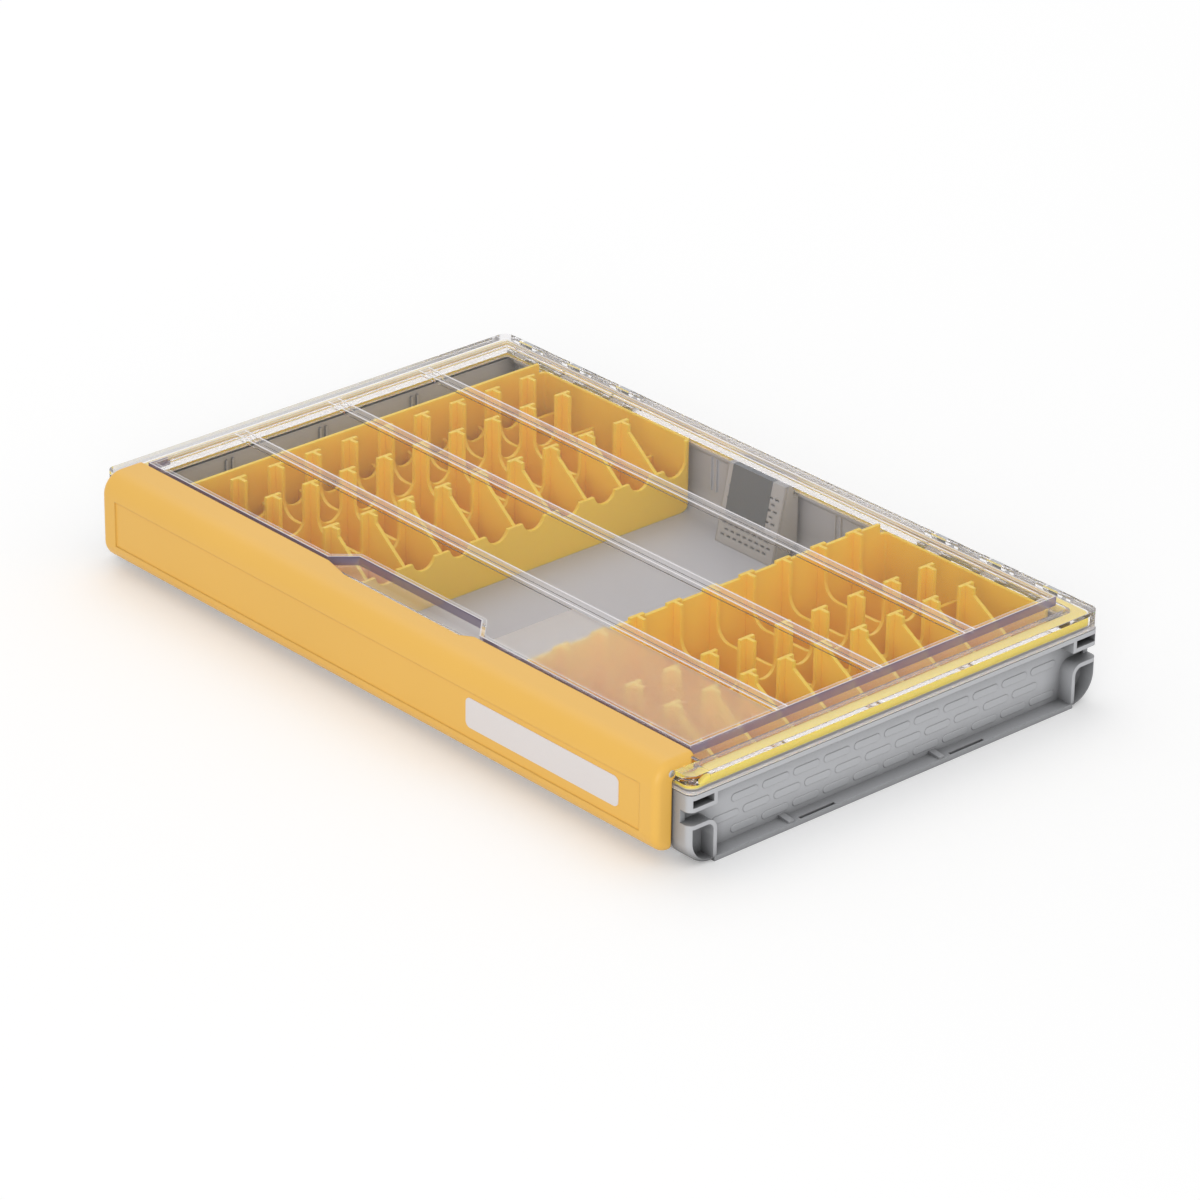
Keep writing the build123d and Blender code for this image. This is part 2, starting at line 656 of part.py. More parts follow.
def make_lid():
    """The clear lid: raised middle, rim, seal channel, ears, pin lugs and pockets."""
    outer = inset_outline(0, 0, LID_CORNER_RADIUS)
    rim = along_z(outer, RIM_TOP - RIM_PLATE, RIM_TOP)
    wall_inner = inset_outline(RIM_WALL, RIM_WALL, LID_CORNER_RADIUS - 1)
    rim += ring(outer, wall_inner, LID_BOTTOM, RIM_TOP)
    channel_end = RIM_WALL + SEAL_END_WIDTH
    channel_side = RIM_WALL + SEAL_SIDE_WIDTH
    channel_outer = inset_outline(channel_end, channel_side, LID_CORNER_RADIUS - 1)
    channel_inner = inset_outline(
        channel_end + SEAL_CHANNEL_WALL,
        channel_side + SEAL_CHANNEL_WALL,
        LID_CORNER_RADIUS - 2,
    )
    rim += ring(channel_outer, channel_inner, SEAL_TOP - CHANNEL_LIP, RIM_TOP)
    rim += ring(wall_inner, channel_outer, SEAL_TOP, RIM_TOP)
    lid = rim + along_z(plateau_outline(), RIM_TOP - RIM_PLATE, LID_TOP)
    lid -= seal_crown()
    lid -= front_rim_step()
    lid += front_rim_floor()
    lid -= along_z(plateau_hollow(), LID_BOTTOM - 1, LID_TOP - PLATE)
    lid += [ear_pocket_block(side) for side in ENDS]
    lid -= [ear_pocket(side) for side in ENDS]
    lid += strength_ribs()
    for side in ENDS:
        for x in knuckle_centres(side):
            lid += [lid_ear(x, -1), lid_ear(x, 1)]
            lid -= knuckle_notch(x)
        pin_hole = hinge_pin(side)
        centre = pin_hole.center()
        lid -= rod_x(
            centre.X - KNUCKLE_PITCH * KNUCKLES_PER_GROUP,
            centre.X + KNUCKLE_PITCH * KNUCKLES_PER_GROUP,
            HINGE_AXIS_Y,
            HINGE_AXIS_Z,
            HINGE_PIN_RADIUS + RUNNING_GAP,
        )
        lug, bore = latch_lug(side)
        lid += lug
        lid -= bore
    return lid


def front_rim_step():
    """The room over the front rim in which the latch's rear flange moves down."""
    return block(
        -POCKET_OUTER_X,
        POCKET_OUTER_X,
        BASE_FRONT_Y - 1,
        PLATEAU_FRONT_Y,
        FRONT_RIM_TOP,
        LID_TOP + 1,
    )


def front_rim_floor():
    """The lowered front rim plate, from the seal to the raised middle."""
    return block(
        -POCKET_OUTER_X,
        POCKET_OUTER_X,
        BASE_FRONT_Y + RIM_WALL / 2,
        PLATEAU_FRONT_Y + PLATE,
        FRONT_RIM_TOP - RIM_PLATE,
        FRONT_RIM_TOP,
    )


def seal_band(z0, z1):
    """The seal ring's plan between two heights."""
    outer = inset_outline(RIM_WALL, RIM_WALL, LID_CORNER_RADIUS - 1)
    inner = inset_outline(
        RIM_WALL + SEAL_END_WIDTH,
        RIM_WALL + SEAL_SIDE_WIDTH,
        LID_CORNER_RADIUS - 1,
    )
    return ring(outer, inner, z0, z1)


def seal_crown():
    """The thick part of the seal, along the ends and the back, behind the ear pockets."""
    front = POCKET_REAR_Y + POCKET_BLOCK + SEAL_CROWN_GAP
    past = block(
        -HALF_X,
        HALF_X,
        BASE_FRONT_Y,
        front,
        SEAL_TOP - 1,
        SEAL_CROWN_TOP + 1,
    )
    return seal_band(SEAL_TOP, SEAL_CROWN_TOP) - past


def make_seal_ring():
    """The soft ring in the lid's channel."""
    return seal_band(SEAL_BOTTOM, SEAL_TOP) + seal_crown()


def latch_section(inset, top_inset):
    """The latch's filled Y-Z section, moved inwards on its top, front and bottom."""
    past = 1 if inset else 0
    rear = LATCH_REAR_Y + past
    lip = LATCH_EDGE_Y + past
    sketch = polygon(
        (rear, LID_TOP - top_inset),
        (FRONT_Y + inset, LID_TOP - top_inset),
        (FRONT_Y + inset, LATCH_BOTTOM + inset),
        (lip, LATCH_BOTTOM + inset),
        (lip, EAR_BOTTOM_FRONT - 1),
        (rear, EAR_BOTTOM_FRONT - 1),
    )
    front_corners = sketch.vertices().sort_by(Axis.X)[:2].sort_by(Axis.Y)
    sketch = fillet(front_corners[1], LATCH_TOP_RADIUS - inset)
    foot_corner = sketch.vertices().sort_by(Axis.X)[:2].sort_by(Axis.Y)[0]
    return fillet(foot_corner, LATCH_BOTTOM_RADIUS - inset)


def behind_the_ears():
    """The Y-Z region behind and under the ears that the end plates stay out of."""
    flange_foot = LID_TOP - LATCH_TOP_PANEL
    sketch = polygon(
        (LATCH_EDGE_Y, 0),
        (LATCH_EDGE_Y, EAR_BOTTOM_FRONT),
        (EAR_REAR_Y, EAR_BOTTOM_REAR),
        (EAR_REAR_Y, flange_foot),
        (0, flange_foot),
        (0, 0),
    )
    corner = sketch.vertices().sort_by(Axis.X)[:2].sort_by(Axis.Y)[1]
    return fillet(corner, EAR_CURVE_RADIUS)


def latch_hook(x):
    """An inward rib under the base's catch, with a web to the bottom lip."""
    inner_face = FRONT_Y + LATCH_WALL
    nose = CATCH_NOSE_Y - HOOK_CLEARANCE
    x0 = x - HOOK_WIDTH / 2
    x1 = x + HOOK_WIDTH / 2
    shelf = block(x0, x1, inner_face - 0.5, nose, HOOK_TOP - HOOK_THICKNESS, HOOK_TOP)
    webs = [
        block(
            x + step - HOOK_RIB_WIDTH / 2,
            x + step + HOOK_RIB_WIDTH / 2,
            inner_face - 0.5,
            nose - HOOK_THICKNESS,
            LATCH_BOTTOM + LATCH_WALL / 2,
            HOOK_TOP - HOOK_THICKNESS / 2,
        )
        for step in (-HOOK_WIDTH / 3, 0, HOOK_WIDTH / 3)
    ]
    return (shelf + webs) & along_x(latch_section(LATCH_WALL / 2, LATCH_WALL / 2), x0, x1)


def thumb_cut():
    """The cut in the latch's rear edge, over the scoop, for a thumb."""
    sketch = polygon(
        (THUMB_CUT_LEFT, LATCH_REAR_Y + 1),
        (THUMB_CUT_LEFT, LATCH_REAR_Y),
        (THUMB_CUT_LEFT + THUMB_CUT_LEFT_SLOPE, LATCH_REAR_Y - THUMB_CUT_DEPTH),
        (THUMB_CUT_RIGHT - THUMB_CUT_RIGHT_SLOPE, LATCH_REAR_Y - THUMB_CUT_DEPTH),
        (THUMB_CUT_RIGHT, LATCH_REAR_Y),
        (THUMB_CUT_RIGHT, LATCH_REAR_Y + 1),
    )
    return along_z(sketch, EAR_BOTTOM_REAR, LID_TOP + 1)


def front_panel_recess():
    """The very shallow sunk panel of the latch's front face."""
    half = LATCH_X - PANEL_END_INSET
    foot = LATCH_BOTTOM + LATCH_BOTTOM_RADIUS
    return block(-half, half, FRONT_Y - 1, FRONT_Y + PANEL_DEPTH, foot, PANEL_TOP)


def make_latch():
    """The yellow latch: one long channel over the front, with closed ends and hooks."""
    latch = along_x(latch_section(0, 0), -LATCH_X, LATCH_X)
    latch = fillet(outer_end_edges(latch), LATCH_END_RADIUS)
    reach = LATCH_X - LATCH_WALL
    latch -= along_x(latch_section(LATCH_WALL, LATCH_TOP_PANEL), -reach, reach)
    latch -= along_x(behind_the_ears(), -LATCH_X - 1, LATCH_X + 1)
    for x in HOOK_CENTRES:
        latch += latch_hook(x)
    latch -= thumb_cut()
    latch -= front_panel_recess()
    latch -= [latch_pin(side) for side in ENDS]
    return latch


def outer_end_edges(prism):
    """The edges of the latch's two ends along its top, front and bottom."""
    picked = []
    for edge in prism.edges():
        middle = edge.center()
        at_end = abs(abs(middle.X) - LATCH_X) < 0.01
        in_front = middle.Y < LATCH_EDGE_Y - 0.01
        on_top = middle.Z > LID_TOP - 0.01
        if at_end and (in_front or on_top):
            picked.append(edge)
    return picked


def latch_pin(side):
    """The steel pin through one end of the latch and the lid's lug."""
    outer_x = side * LATCH_X
    inner_x = side * (POCKET_INNER_X - LUG_WIDTH)
    x0 = min(outer_x, inner_x)
    x1 = max(outer_x, inner_x)
    return rod_x(x0, x1, LATCH_PIVOT_Y, LATCH_PIVOT_Z, LATCH_PIN_RADIUS)


def make_latch_label():
    """The blank writing label on the latch's front panel."""
    face_y = FRONT_Y + PANEL_DEPTH
    outline = Pos(LABEL_CENTRE_X, LABEL_CENTRE_Z) * RectangleRounded(
        LABEL_LENGTH,
        LABEL_HEIGHT,
        LABEL_RADIUS,
    )
    return along_y(outline, face_y - LABEL_THICKNESS, face_y)


def row_positions():
    """The y of each row of posts."""
    return [ROW_ORIGIN + ROW_PITCH * k for k in range(FIRST_ROW, LAST_ROW + 1)]


def lure_slot(y, foot, top):
    """A round-bottomed upright slot in Y-Z, centred on y."""
    radius = LURE_SLOT_WIDTH / 2
    straight = rectangle(y - radius, y + radius, foot + radius, top)
    return straight + Pos(y, foot + radius) * Circle(radius)


def column_web(x):
    """A thin wall along Y whose slots leave a post at each row."""
    rows = row_positions()
    half_post = (ROW_PITCH - LURE_SLOT_WIDTH) / 2
    y0 = rows[0] - half_post
    y1 = rows[-1] + half_post
    tall = rectangle(y0, y1, FLOOR, RACK_POST_TOP)
    low = rectangle(RACK_FRONT_Y + 0.5, RACK_BACK_Y - 0.5, FLOOR, LURE_SLOT_BOTTOM)
    sketch = tall + low
    for y in rows[:-1]:
        sketch -= lure_slot(y + ROW_PITCH / 2, LURE_SLOT_BOTTOM, RACK_POST_TOP + 1)
    return along_x(sketch, x - RACK_WALL / 2, x + RACK_WALL / 2)


def row_dip(x0, x1):
    """A round-cornered dip in a row plate between two posts, in X-Z."""
    width = x1 - x0
    radius = min(ROW_DIP_RADIUS, width * 0.45)
    sketch = rectangle(x0, x1, LURE_SLOT_BOTTOM, RACK_POST_TOP + 1)
    lower = sketch.vertices().sort_by(Axis.Y)[:2]
    return fillet(lower, radius)


def row_plate(x0, columns, y):
    """A thin wall along X: an arm on each post, dips between, and a brace to the low wall."""
    right = x0 + RACK_LENGTH_X - RACK_WALL / 2
    posts = [x0 + c for c in columns]
    arm_end = posts[-1] + POST_ARM
    sketch = polygon(
        (x0 + RACK_WALL / 2, FLOOR),
        (right, FLOOR),
        (right, LOW_WALL_PEAK),
        (arm_end, BRACE_TOP),
        (arm_end, RACK_POST_TOP),
        (x0 + RACK_WALL / 2, RACK_POST_TOP),
    )
    if columns[0] > POST_ARM:
        sketch -= row_dip(x0 + RACK_WALL / 2 - 1, posts[0] - RACK_WALL / 2)
    for left_post, right_post in zip(posts, posts[1:]):
        sketch -= row_dip(left_post + POST_ARM, right_post - RACK_WALL / 2)
    return along_y(sketch, y - RACK_WALL / 2, y + RACK_WALL / 2)


def rack_envelope(x0, inset, top):
    """The rack's outside, rounded in plan and at its front and back foot, moved inwards."""
    x1 = x0 + RACK_LENGTH_X
    front = RACK_FRONT_Y + inset
    back = RACK_BACK_Y - inset
    plan = rounded_rectangle(x0 + inset, x1 - inset, front, back, RACK_CORNER_RADIUS - inset)
    foot = FLOOR + inset * RACK_FLOOR / RACK_WALL
    side = rectangle(front, back, foot, top)
    side = fillet(side.vertices().sort_by(Axis.Y)[:2], RACK_FOOT_RADIUS - inset)
    return along_z(plan, foot, top) & along_x(side, x0, x1)


def rack_tray(x0):
    """The rack's outer walls and floor: a tall left wall, a low scalloped right wall."""
    x1 = x0 + RACK_LENGTH_X
    tray = rack_envelope(x0, 0, RACK_WALL_TOP) - rack_envelope(x0, RACK_WALL, RACK_WALL_TOP + 1)
    rows = row_positions()
    low_y0 = rows[0] - ROW_PITCH
    low_y1 = rows[-1] + ROW_PITCH / 2 + LURE_SLOT_WIDTH / 2
    tray -= block(
        x1 - RACK_WALL - 1,
        x1 + 1,
        low_y0,
        low_y1,
        LOW_WALL_PEAK,
        RACK_WALL_TOP + 1,
    )
    scallops = [y + ROW_PITCH / 2 for y in [rows[0] - ROW_PITCH] + rows]
    for y in scallops:
        tray -= along_x(
            lure_slot(y, LURE_SLOT_BOTTOM, RACK_WALL_TOP + 1),
            x1 - RACK_WALL - 1,
            x1 + 1,
        )
    return tray


def rack_end_room(x0):
    """The space under the lid rim that the rack's ends stay out of."""
    x1 = x0 + RACK_LENGTH_X + 1
    front_limit = PLATEAU_FRONT_Y + PLATE + SIDE_GAP
    back_limit = PLATEAU_BACK_Y - PLATE - SIDE_GAP
    top = RACK_POST_TOP + 1
    return [
        block(x0 - 1, x1, RACK_FRONT_Y - 1, front_limit, RACK_END_TOP, top),
        block(x0 - 1, x1, back_limit, RACK_BACK_Y + 1, RACK_END_TOP, top),
    ]


def make_rack(x0, columns):
    """One yellow lure rack: a tray with rows of slotted posts."""
    rack = rack_tray(x0)
    rack += [column_web(x0 + c) for c in columns]
    rack += [row_plate(x0, columns, y) for y in row_positions()]
    rack -= rack_end_room(x0)
    return rack & rack_envelope(x0, 0, RACK_POST_TOP)


def case_front_y(z):
    """The y of the case's leaning front at a height."""
    slope = (CASE_TOP_FRONT_Y - CASE_FOOT_FRONT_Y) / (CASE_TOP - FLOOR)
    return CASE_FOOT_FRONT_Y + slope * (z - FLOOR)


def case_outline():
    """The case's Y-Z section, stepped at the back to pass under the lid's seal channel."""
    return polygon(
        (CASE_FOOT_FRONT_Y, FLOOR),
        (CASE_TOP_FRONT_Y, CASE_TOP),
        (CASE_TOP_BACK_Y, CASE_TOP),
        (CASE_TOP_BACK_Y, BASE_HEIGHT - SIDE_GAP),
        (CASE_BACK_Y, BASE_HEIGHT - SIDE_GAP),
        (CASE_BACK_Y, FLOOR + CASE_HEEL),
        (CASE_BACK_Y - CASE_HEEL, FLOOR),
    )


def behind_cover(gap):
    """The Y-Z region behind the case's front cover, less a gap."""
    low = FLOOR - 1
    high = CASE_TOP + 1
    step = CASE_COVER_THICKNESS + gap
    return polygon(
        (case_front_y(low) + step, low),
        (case_front_y(high) + step, high),
        (CASE_BACK_Y + 1, high),
        (CASE_BACK_Y + 1, low),
    )


def case_slots():
    """Rows of short breathing slots through the case's front cover."""
    slots = []
    middle = CASE_LEFT_X + CASE_LENGTH / 2
    for row in range(CASE_SLOT_ROWS):
        z = FLOOR + CASE_SLOT_PITCH_Z * (row + 1.5)
        y = case_front_y(z)
        shift = CASE_SLOT_PITCH_X / 2 * (row % 2) - CASE_SLOT_PITCH_X / 4
        for column in range(CASE_SLOT_COLUMNS):
            x = middle + shift + CASE_SLOT_PITCH_X * (column - (CASE_SLOT_COLUMNS - 1) / 2)
            slots.append(
                block(
                    x - CASE_SLOT_LENGTH / 2,
                    x + CASE_SLOT_LENGTH / 2,
                    y - 1,
                    y + CASE_COVER_THICKNESS + 1,
                    z - CASE_SLOT_HEIGHT / 2,
                    z + CASE_SLOT_HEIGHT / 2,
                )
            )
    return slots


def make_case_body():
    """The grey back half of the moisture case, a shallow box open to the front."""
    x1 = CASE_LEFT_X + CASE_LENGTH
    body = along_x(case_outline() & behind_cover(0), CASE_LEFT_X, x1)
    room = offset(case_outline(), -CASE_WALL, kind=Kind.INTERSECTION)
    return body - along_x(room, CASE_LEFT_X + CASE_WALL, x1 - CASE_WALL)


def make_case_cover():
    """The slotted front plate of the moisture case."""
    plate = case_outline() - behind_cover(0)
    return along_x(plate, CASE_LEFT_X, CASE_LEFT_X + CASE_LENGTH) - case_slots()


def make_desiccant_pack():
    """The drying pack that stands inside the moisture case."""
    inset = CASE_WALL + SIDE_GAP
    room = offset(case_outline(), -CASE_WALL, kind=Kind.INTERSECTION)
    room &= behind_cover(SIDE_GAP)
    return along_x(room, CASE_LEFT_X + inset, CASE_LEFT_X + CASE_LENGTH - inset)


def make_case_label():
    """The thin label that wraps over the front and top of the moisture case."""
    drop_z = CASE_TOP - CASE_LABEL_DROP
    drop_y = case_front_y(drop_z)
    back = CASE_TOP_BACK_Y - CASE_LABEL_THICKNESS
    sketch = polygon(
        (drop_y, drop_z),
        (CASE_TOP_FRONT_Y, CASE_TOP),
        (back, CASE_TOP),
        (back, CASE_TOP + CASE_LABEL_THICKNESS),
        (CASE_TOP_FRONT_Y - CASE_LABEL_THICKNESS, CASE_TOP + CASE_LABEL_THICKNESS),
        (drop_y - CASE_LABEL_THICKNESS, drop_z),
    )
    x0 = CASE_LEFT_X + CASE_LABEL_INSET
    return along_x(sketch, x0, x0 + CASE_LABEL_LENGTH)


def main():
    os.makedirs("parts", exist_ok=True)
    nodes = {
        "base_shell": make_base_shell(),
        "hinge_pin_left": hinge_pin(-1),
        "hinge_pin_right": hinge_pin(1),
        "rack_left": make_rack(LEFT_RACK_X, LEFT_RACK_COLUMNS),
        "rack_right": make_rack(RIGHT_RACK_X, RIGHT_RACK_COLUMNS),
        "moisture_case_body": make_case_body(),
        "moisture_case_cover": make_case_cover(),
        "desiccant_pack": make_desiccant_pack(),
        "moisture_case_label": make_case_label(),
        "lid": make_lid(),
        "seal_ring": make_seal_ring(),
        "latch": make_latch(),
        "latch_pin_left": latch_pin(-1),
        "latch_pin_right": latch_pin(1),
        "latch_label": make_latch_label(),
    }
    for name, solid in nodes.items():
        export_step(solid, f"parts/{name}.step")


if __name__ == "__main__":
    main()
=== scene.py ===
import math

import bpy
import numpy as np
from bpy.props import FloatProperty, FloatVectorProperty, PointerProperty
from bpy.types import Operator, Panel, PropertyGroup
from mathutils import Matrix, Vector


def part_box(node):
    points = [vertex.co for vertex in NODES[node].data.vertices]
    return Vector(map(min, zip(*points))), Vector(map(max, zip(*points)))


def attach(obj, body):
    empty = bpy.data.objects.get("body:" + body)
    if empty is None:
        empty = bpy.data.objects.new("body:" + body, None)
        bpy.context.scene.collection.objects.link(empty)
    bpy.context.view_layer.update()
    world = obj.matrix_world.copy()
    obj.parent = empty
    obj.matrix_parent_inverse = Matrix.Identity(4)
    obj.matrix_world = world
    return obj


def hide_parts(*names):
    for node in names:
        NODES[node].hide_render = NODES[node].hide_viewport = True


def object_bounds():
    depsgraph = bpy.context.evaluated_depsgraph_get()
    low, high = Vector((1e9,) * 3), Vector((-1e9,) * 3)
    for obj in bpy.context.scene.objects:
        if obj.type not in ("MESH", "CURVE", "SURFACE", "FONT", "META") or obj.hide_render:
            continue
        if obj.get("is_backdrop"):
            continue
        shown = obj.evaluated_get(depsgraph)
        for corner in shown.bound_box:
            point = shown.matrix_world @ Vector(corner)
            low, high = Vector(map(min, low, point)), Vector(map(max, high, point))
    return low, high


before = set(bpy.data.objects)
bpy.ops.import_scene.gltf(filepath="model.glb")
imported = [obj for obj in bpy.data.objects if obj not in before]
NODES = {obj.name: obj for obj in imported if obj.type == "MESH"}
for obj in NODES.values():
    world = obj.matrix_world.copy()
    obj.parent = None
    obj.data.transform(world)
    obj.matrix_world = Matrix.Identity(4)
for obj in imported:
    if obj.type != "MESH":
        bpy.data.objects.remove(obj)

bl_info = {
    "name": "Lure box",
    "version": (1, 0, 0),
    "blender": (4, 5, 0),
    "location": "View3D > Sidebar > Lure box",
    "description": "Dresses a clear-lidded lure box: plastics, moulded detail, floor, light and camera",
    "category": "Object",
}

MM = 0.001

# The lid: how far the raised middle lies in from the ends, how high it rises above the rim,
# and how far masks reach either side of a flat face.
RAISED_INSET = 13.5 * MM
RAISED_HEIGHT = 4.0 * MM
FACE_SLACK = 0.05 * MM

# The etched window's insets from the lid's right end and from its front edge.
WINDOW_RIGHT_INSET = 15.3 * MM
WINDOW_FRONT_INSET = 17.5 * MM

# How far the scoop's slanted ends run along the front edge.
SCOOP_LEFT_RUN = 8.2 * MM
SCOOP_RIGHT_RUN = 9.8 * MM

# A rib pair's band, and the painted highlight line in each rib.
RIB_BAND_HALF = 3.3 * MM
RIB_LINE_OFFSET = 2.6 * MM
RIB_LINE_HALF = 0.4 * MM

# The band under the raised edge, as half its width, and the painted highlight lines at its two sides;
# the band is painted white too.
WALL_BAND_HALF = 1.1 * MM
OUTER_LINE_HALF = 0.3 * MM
INNER_LINE_INSET = 2.1 * MM
INNER_LINE_HALF = 0.22 * MM

# The rim's skirt, whitened with painted light, as its middle below the lid's top and half its height.
SKIRT_DROP = 11.5 * MM
SKIRT_HALF = 1.2 * MM

# The tray's end pockets start this far from the middle; beyond it, closed-in corners get painted shade.
POCKETS_FROM = 166.5 * MM

# The seal: its width at the ends and along the sides, its corner radius, its thickness along
# the front, where the thicker part starts and over how much it swells.
SEAL_END_WIDTH = 6.0 * MM
SEAL_SIDE_WIDTH = 4.0 * MM
SEAL_CORNER = 3.0 * MM
SEAL_THIN = 2.0 * MM
SEAL_CROWN_FRONT = -94.6 * MM
SEAL_SWELL = 3.0 * MM

# Where the two soft lights stand, and the length of a side.
KEY_PLACE = (-0.9, 0.5, 1.7)
KEY_SIZE = 1.6
FILL_PLACE = (1.7, -1.9, 0.8)
FILL_SIZE = 1.2


def linear(hex_colour, alpha=1.0):
    """An sRGB hex colour as linear red, green, blue and alpha.

    Each channel c is c / 12.92 below 0.04045, and ((c + 0.055) / 1.055) ** 2.4 above it."""
    channels = [int(hex_colour[i:i + 2], 16) / 255 for i in (1, 3, 5)]
    curve = [c / 12.92 if c <= 0.04045 else ((c + 0.055) / 1.055) ** 2.4 for c in channels]
    return (*curve, alpha)


def length(label, text, default, low=0.0):
    """A size in metres that a user can change."""
    return FloatProperty(
        name=label, description=text, default=default, min=low, subtype="DISTANCE", unit="LENGTH"
    )


def colour(label, text, default):
    """A surface colour that a user can change."""
    return FloatVectorProperty(
        name=label,
        description=text,
        default=linear(default),
        size=4,
        min=0.0,
        max=1.0,
        subtype="COLOR",
    )


class LureBoxSizes(PropertyGroup):
    """Sizes of the moulded detail that the solids leave out."""

    pad_length: length("Pad length", "Length of one raised pad on an end wall", 13.8 * MM)
    pad_height: length("Pad height", "Height of one raised pad on an end wall", 3.4 * MM)
    pad_relief: length("Pad relief", "How far a pad stands out of the end wall", 0.35 * MM)
    pad_pitch: length("Pad pitch", "From one pad to the next along a row", 16.0 * MM)
    pad_row_pitch: length("Row pitch", "From one row of pads to the next", 6.6 * MM)
    window_left: length("Window left", "Where the frosted part of the lid starts", 50.0 * MM)
    window_back: FloatProperty(
        name="Window back",
        description="Where the frosted part of the lid ends, behind the latch",
        default=-51.0 * MM,
        subtype="DISTANCE",
        unit="LENGTH",
    )
    lid_edge: length("Lid edge", "Rounding of the lid's moulded edges", 0.45 * MM)
    scoop_depth: length("Scoop depth", "How far the thumb scoop reaches into the lid", 9.5 * MM)
    scoop_left: FloatProperty(
        name="Scoop left",
        description="The left end of the thumb scoop",
        default=-48.2 * MM,
        subtype="DISTANCE",
        unit="LENGTH",
    )
    scoop_right: length("Scoop right", "The right end of the thumb scoop", 44.2 * MM)
    plateau_front: FloatProperty(
        name="Raised front",
        description="The front edge of the lid's raised middle",
        default=-94.25 * MM,
        subtype="DISTANCE",
        unit="LENGTH",
    )
    plateau_back: length("Raised back", "The back edge of the lid's raised middle", 100.75 * MM)
    rib_middle: length("Rib middle", "Where the middle pair of lid ribs lies", 3.25 * MM)
    rib_spacing: length("Rib spacing", "From one pair of lid ribs to the next", 50.0 * MM)


class LureBoxColours(PropertyGroup):
    """Colours of the plastics, the seal and the labels."""

    latch_yellow: colour("Latch", "Warm yellow of the latch", "#F2BD54")
    rack_yellow: colour("Racks", "Deeper yellow of the lure racks", "#FFD349")
    base_grey: colour("Base", "Cool light grey of the tray", "#C0C1C4")
    case_grey: colour("Moisture case", "Grey of the moisture case", "#B4B3B1")
    seal_yellow: colour("Seal", "Bright lemon yellow of the seal", "#FFE36A")
    film_white: colour("Writing label", "White of the latch's writing label", "#E8E2E0")
    film_grey: colour("Case label", "Dark grey of the moisture case's label", "#6C7175")


class LureBoxStage(PropertyGroup):
    """Camera, floor and light."""

    lens: FloatProperty(
        name="Lens", description="Focal length on a 36 mm sensor", default=168.17, min=10.0
    )
    azimuth: FloatProperty(
        name="Azimuth", description="Degrees from the front towards the right", default=47.937
    )
    elevation: FloatProperty(
        name="Elevation", description="Degrees above the horizon", default=26.234
    )
    roll: FloatProperty(name="Roll", description="Degrees about the line of sight", default=0.754)
    location: FloatVectorProperty(
        name="Location",
        description="Where the camera stands",
        default=(1.51090, -1.35538, 1.01258),
        subtype="TRANSLATION",
        unit="LENGTH",
    )
    key_power: FloatProperty(
        name="Key light", description="Power of the large soft light", default=6.0, min=0.0
    )
    fill_power: FloatProperty(
        name="Fill light", description="Power of the low front light", default=16.0, min=0.0
    )
    sky: FloatProperty(
        name="Room light", description="Strength of the even light all round", default=0.72
    )


def add_node(tree, kind, settings=None, inputs=None):
    """Adds one shader node, sets its settings, and fills or links its inputs."""
    node = tree.nodes.new(kind)
    for name, value in (settings or {}).items():
        setattr(node, name, value)
    for key, value in (inputs or {}).items():
        if isinstance(value, bpy.types.NodeSocket):
            tree.links.new(value, node.inputs[key])
        else:
            node.inputs[key].default_value = value
    return node


def new_material(name):
    """An empty node material and its tree."""
    material = bpy.data.materials.new(name)
    material.use_nodes = True
    material.node_tree.nodes.clear()
    return material, material.node_tree


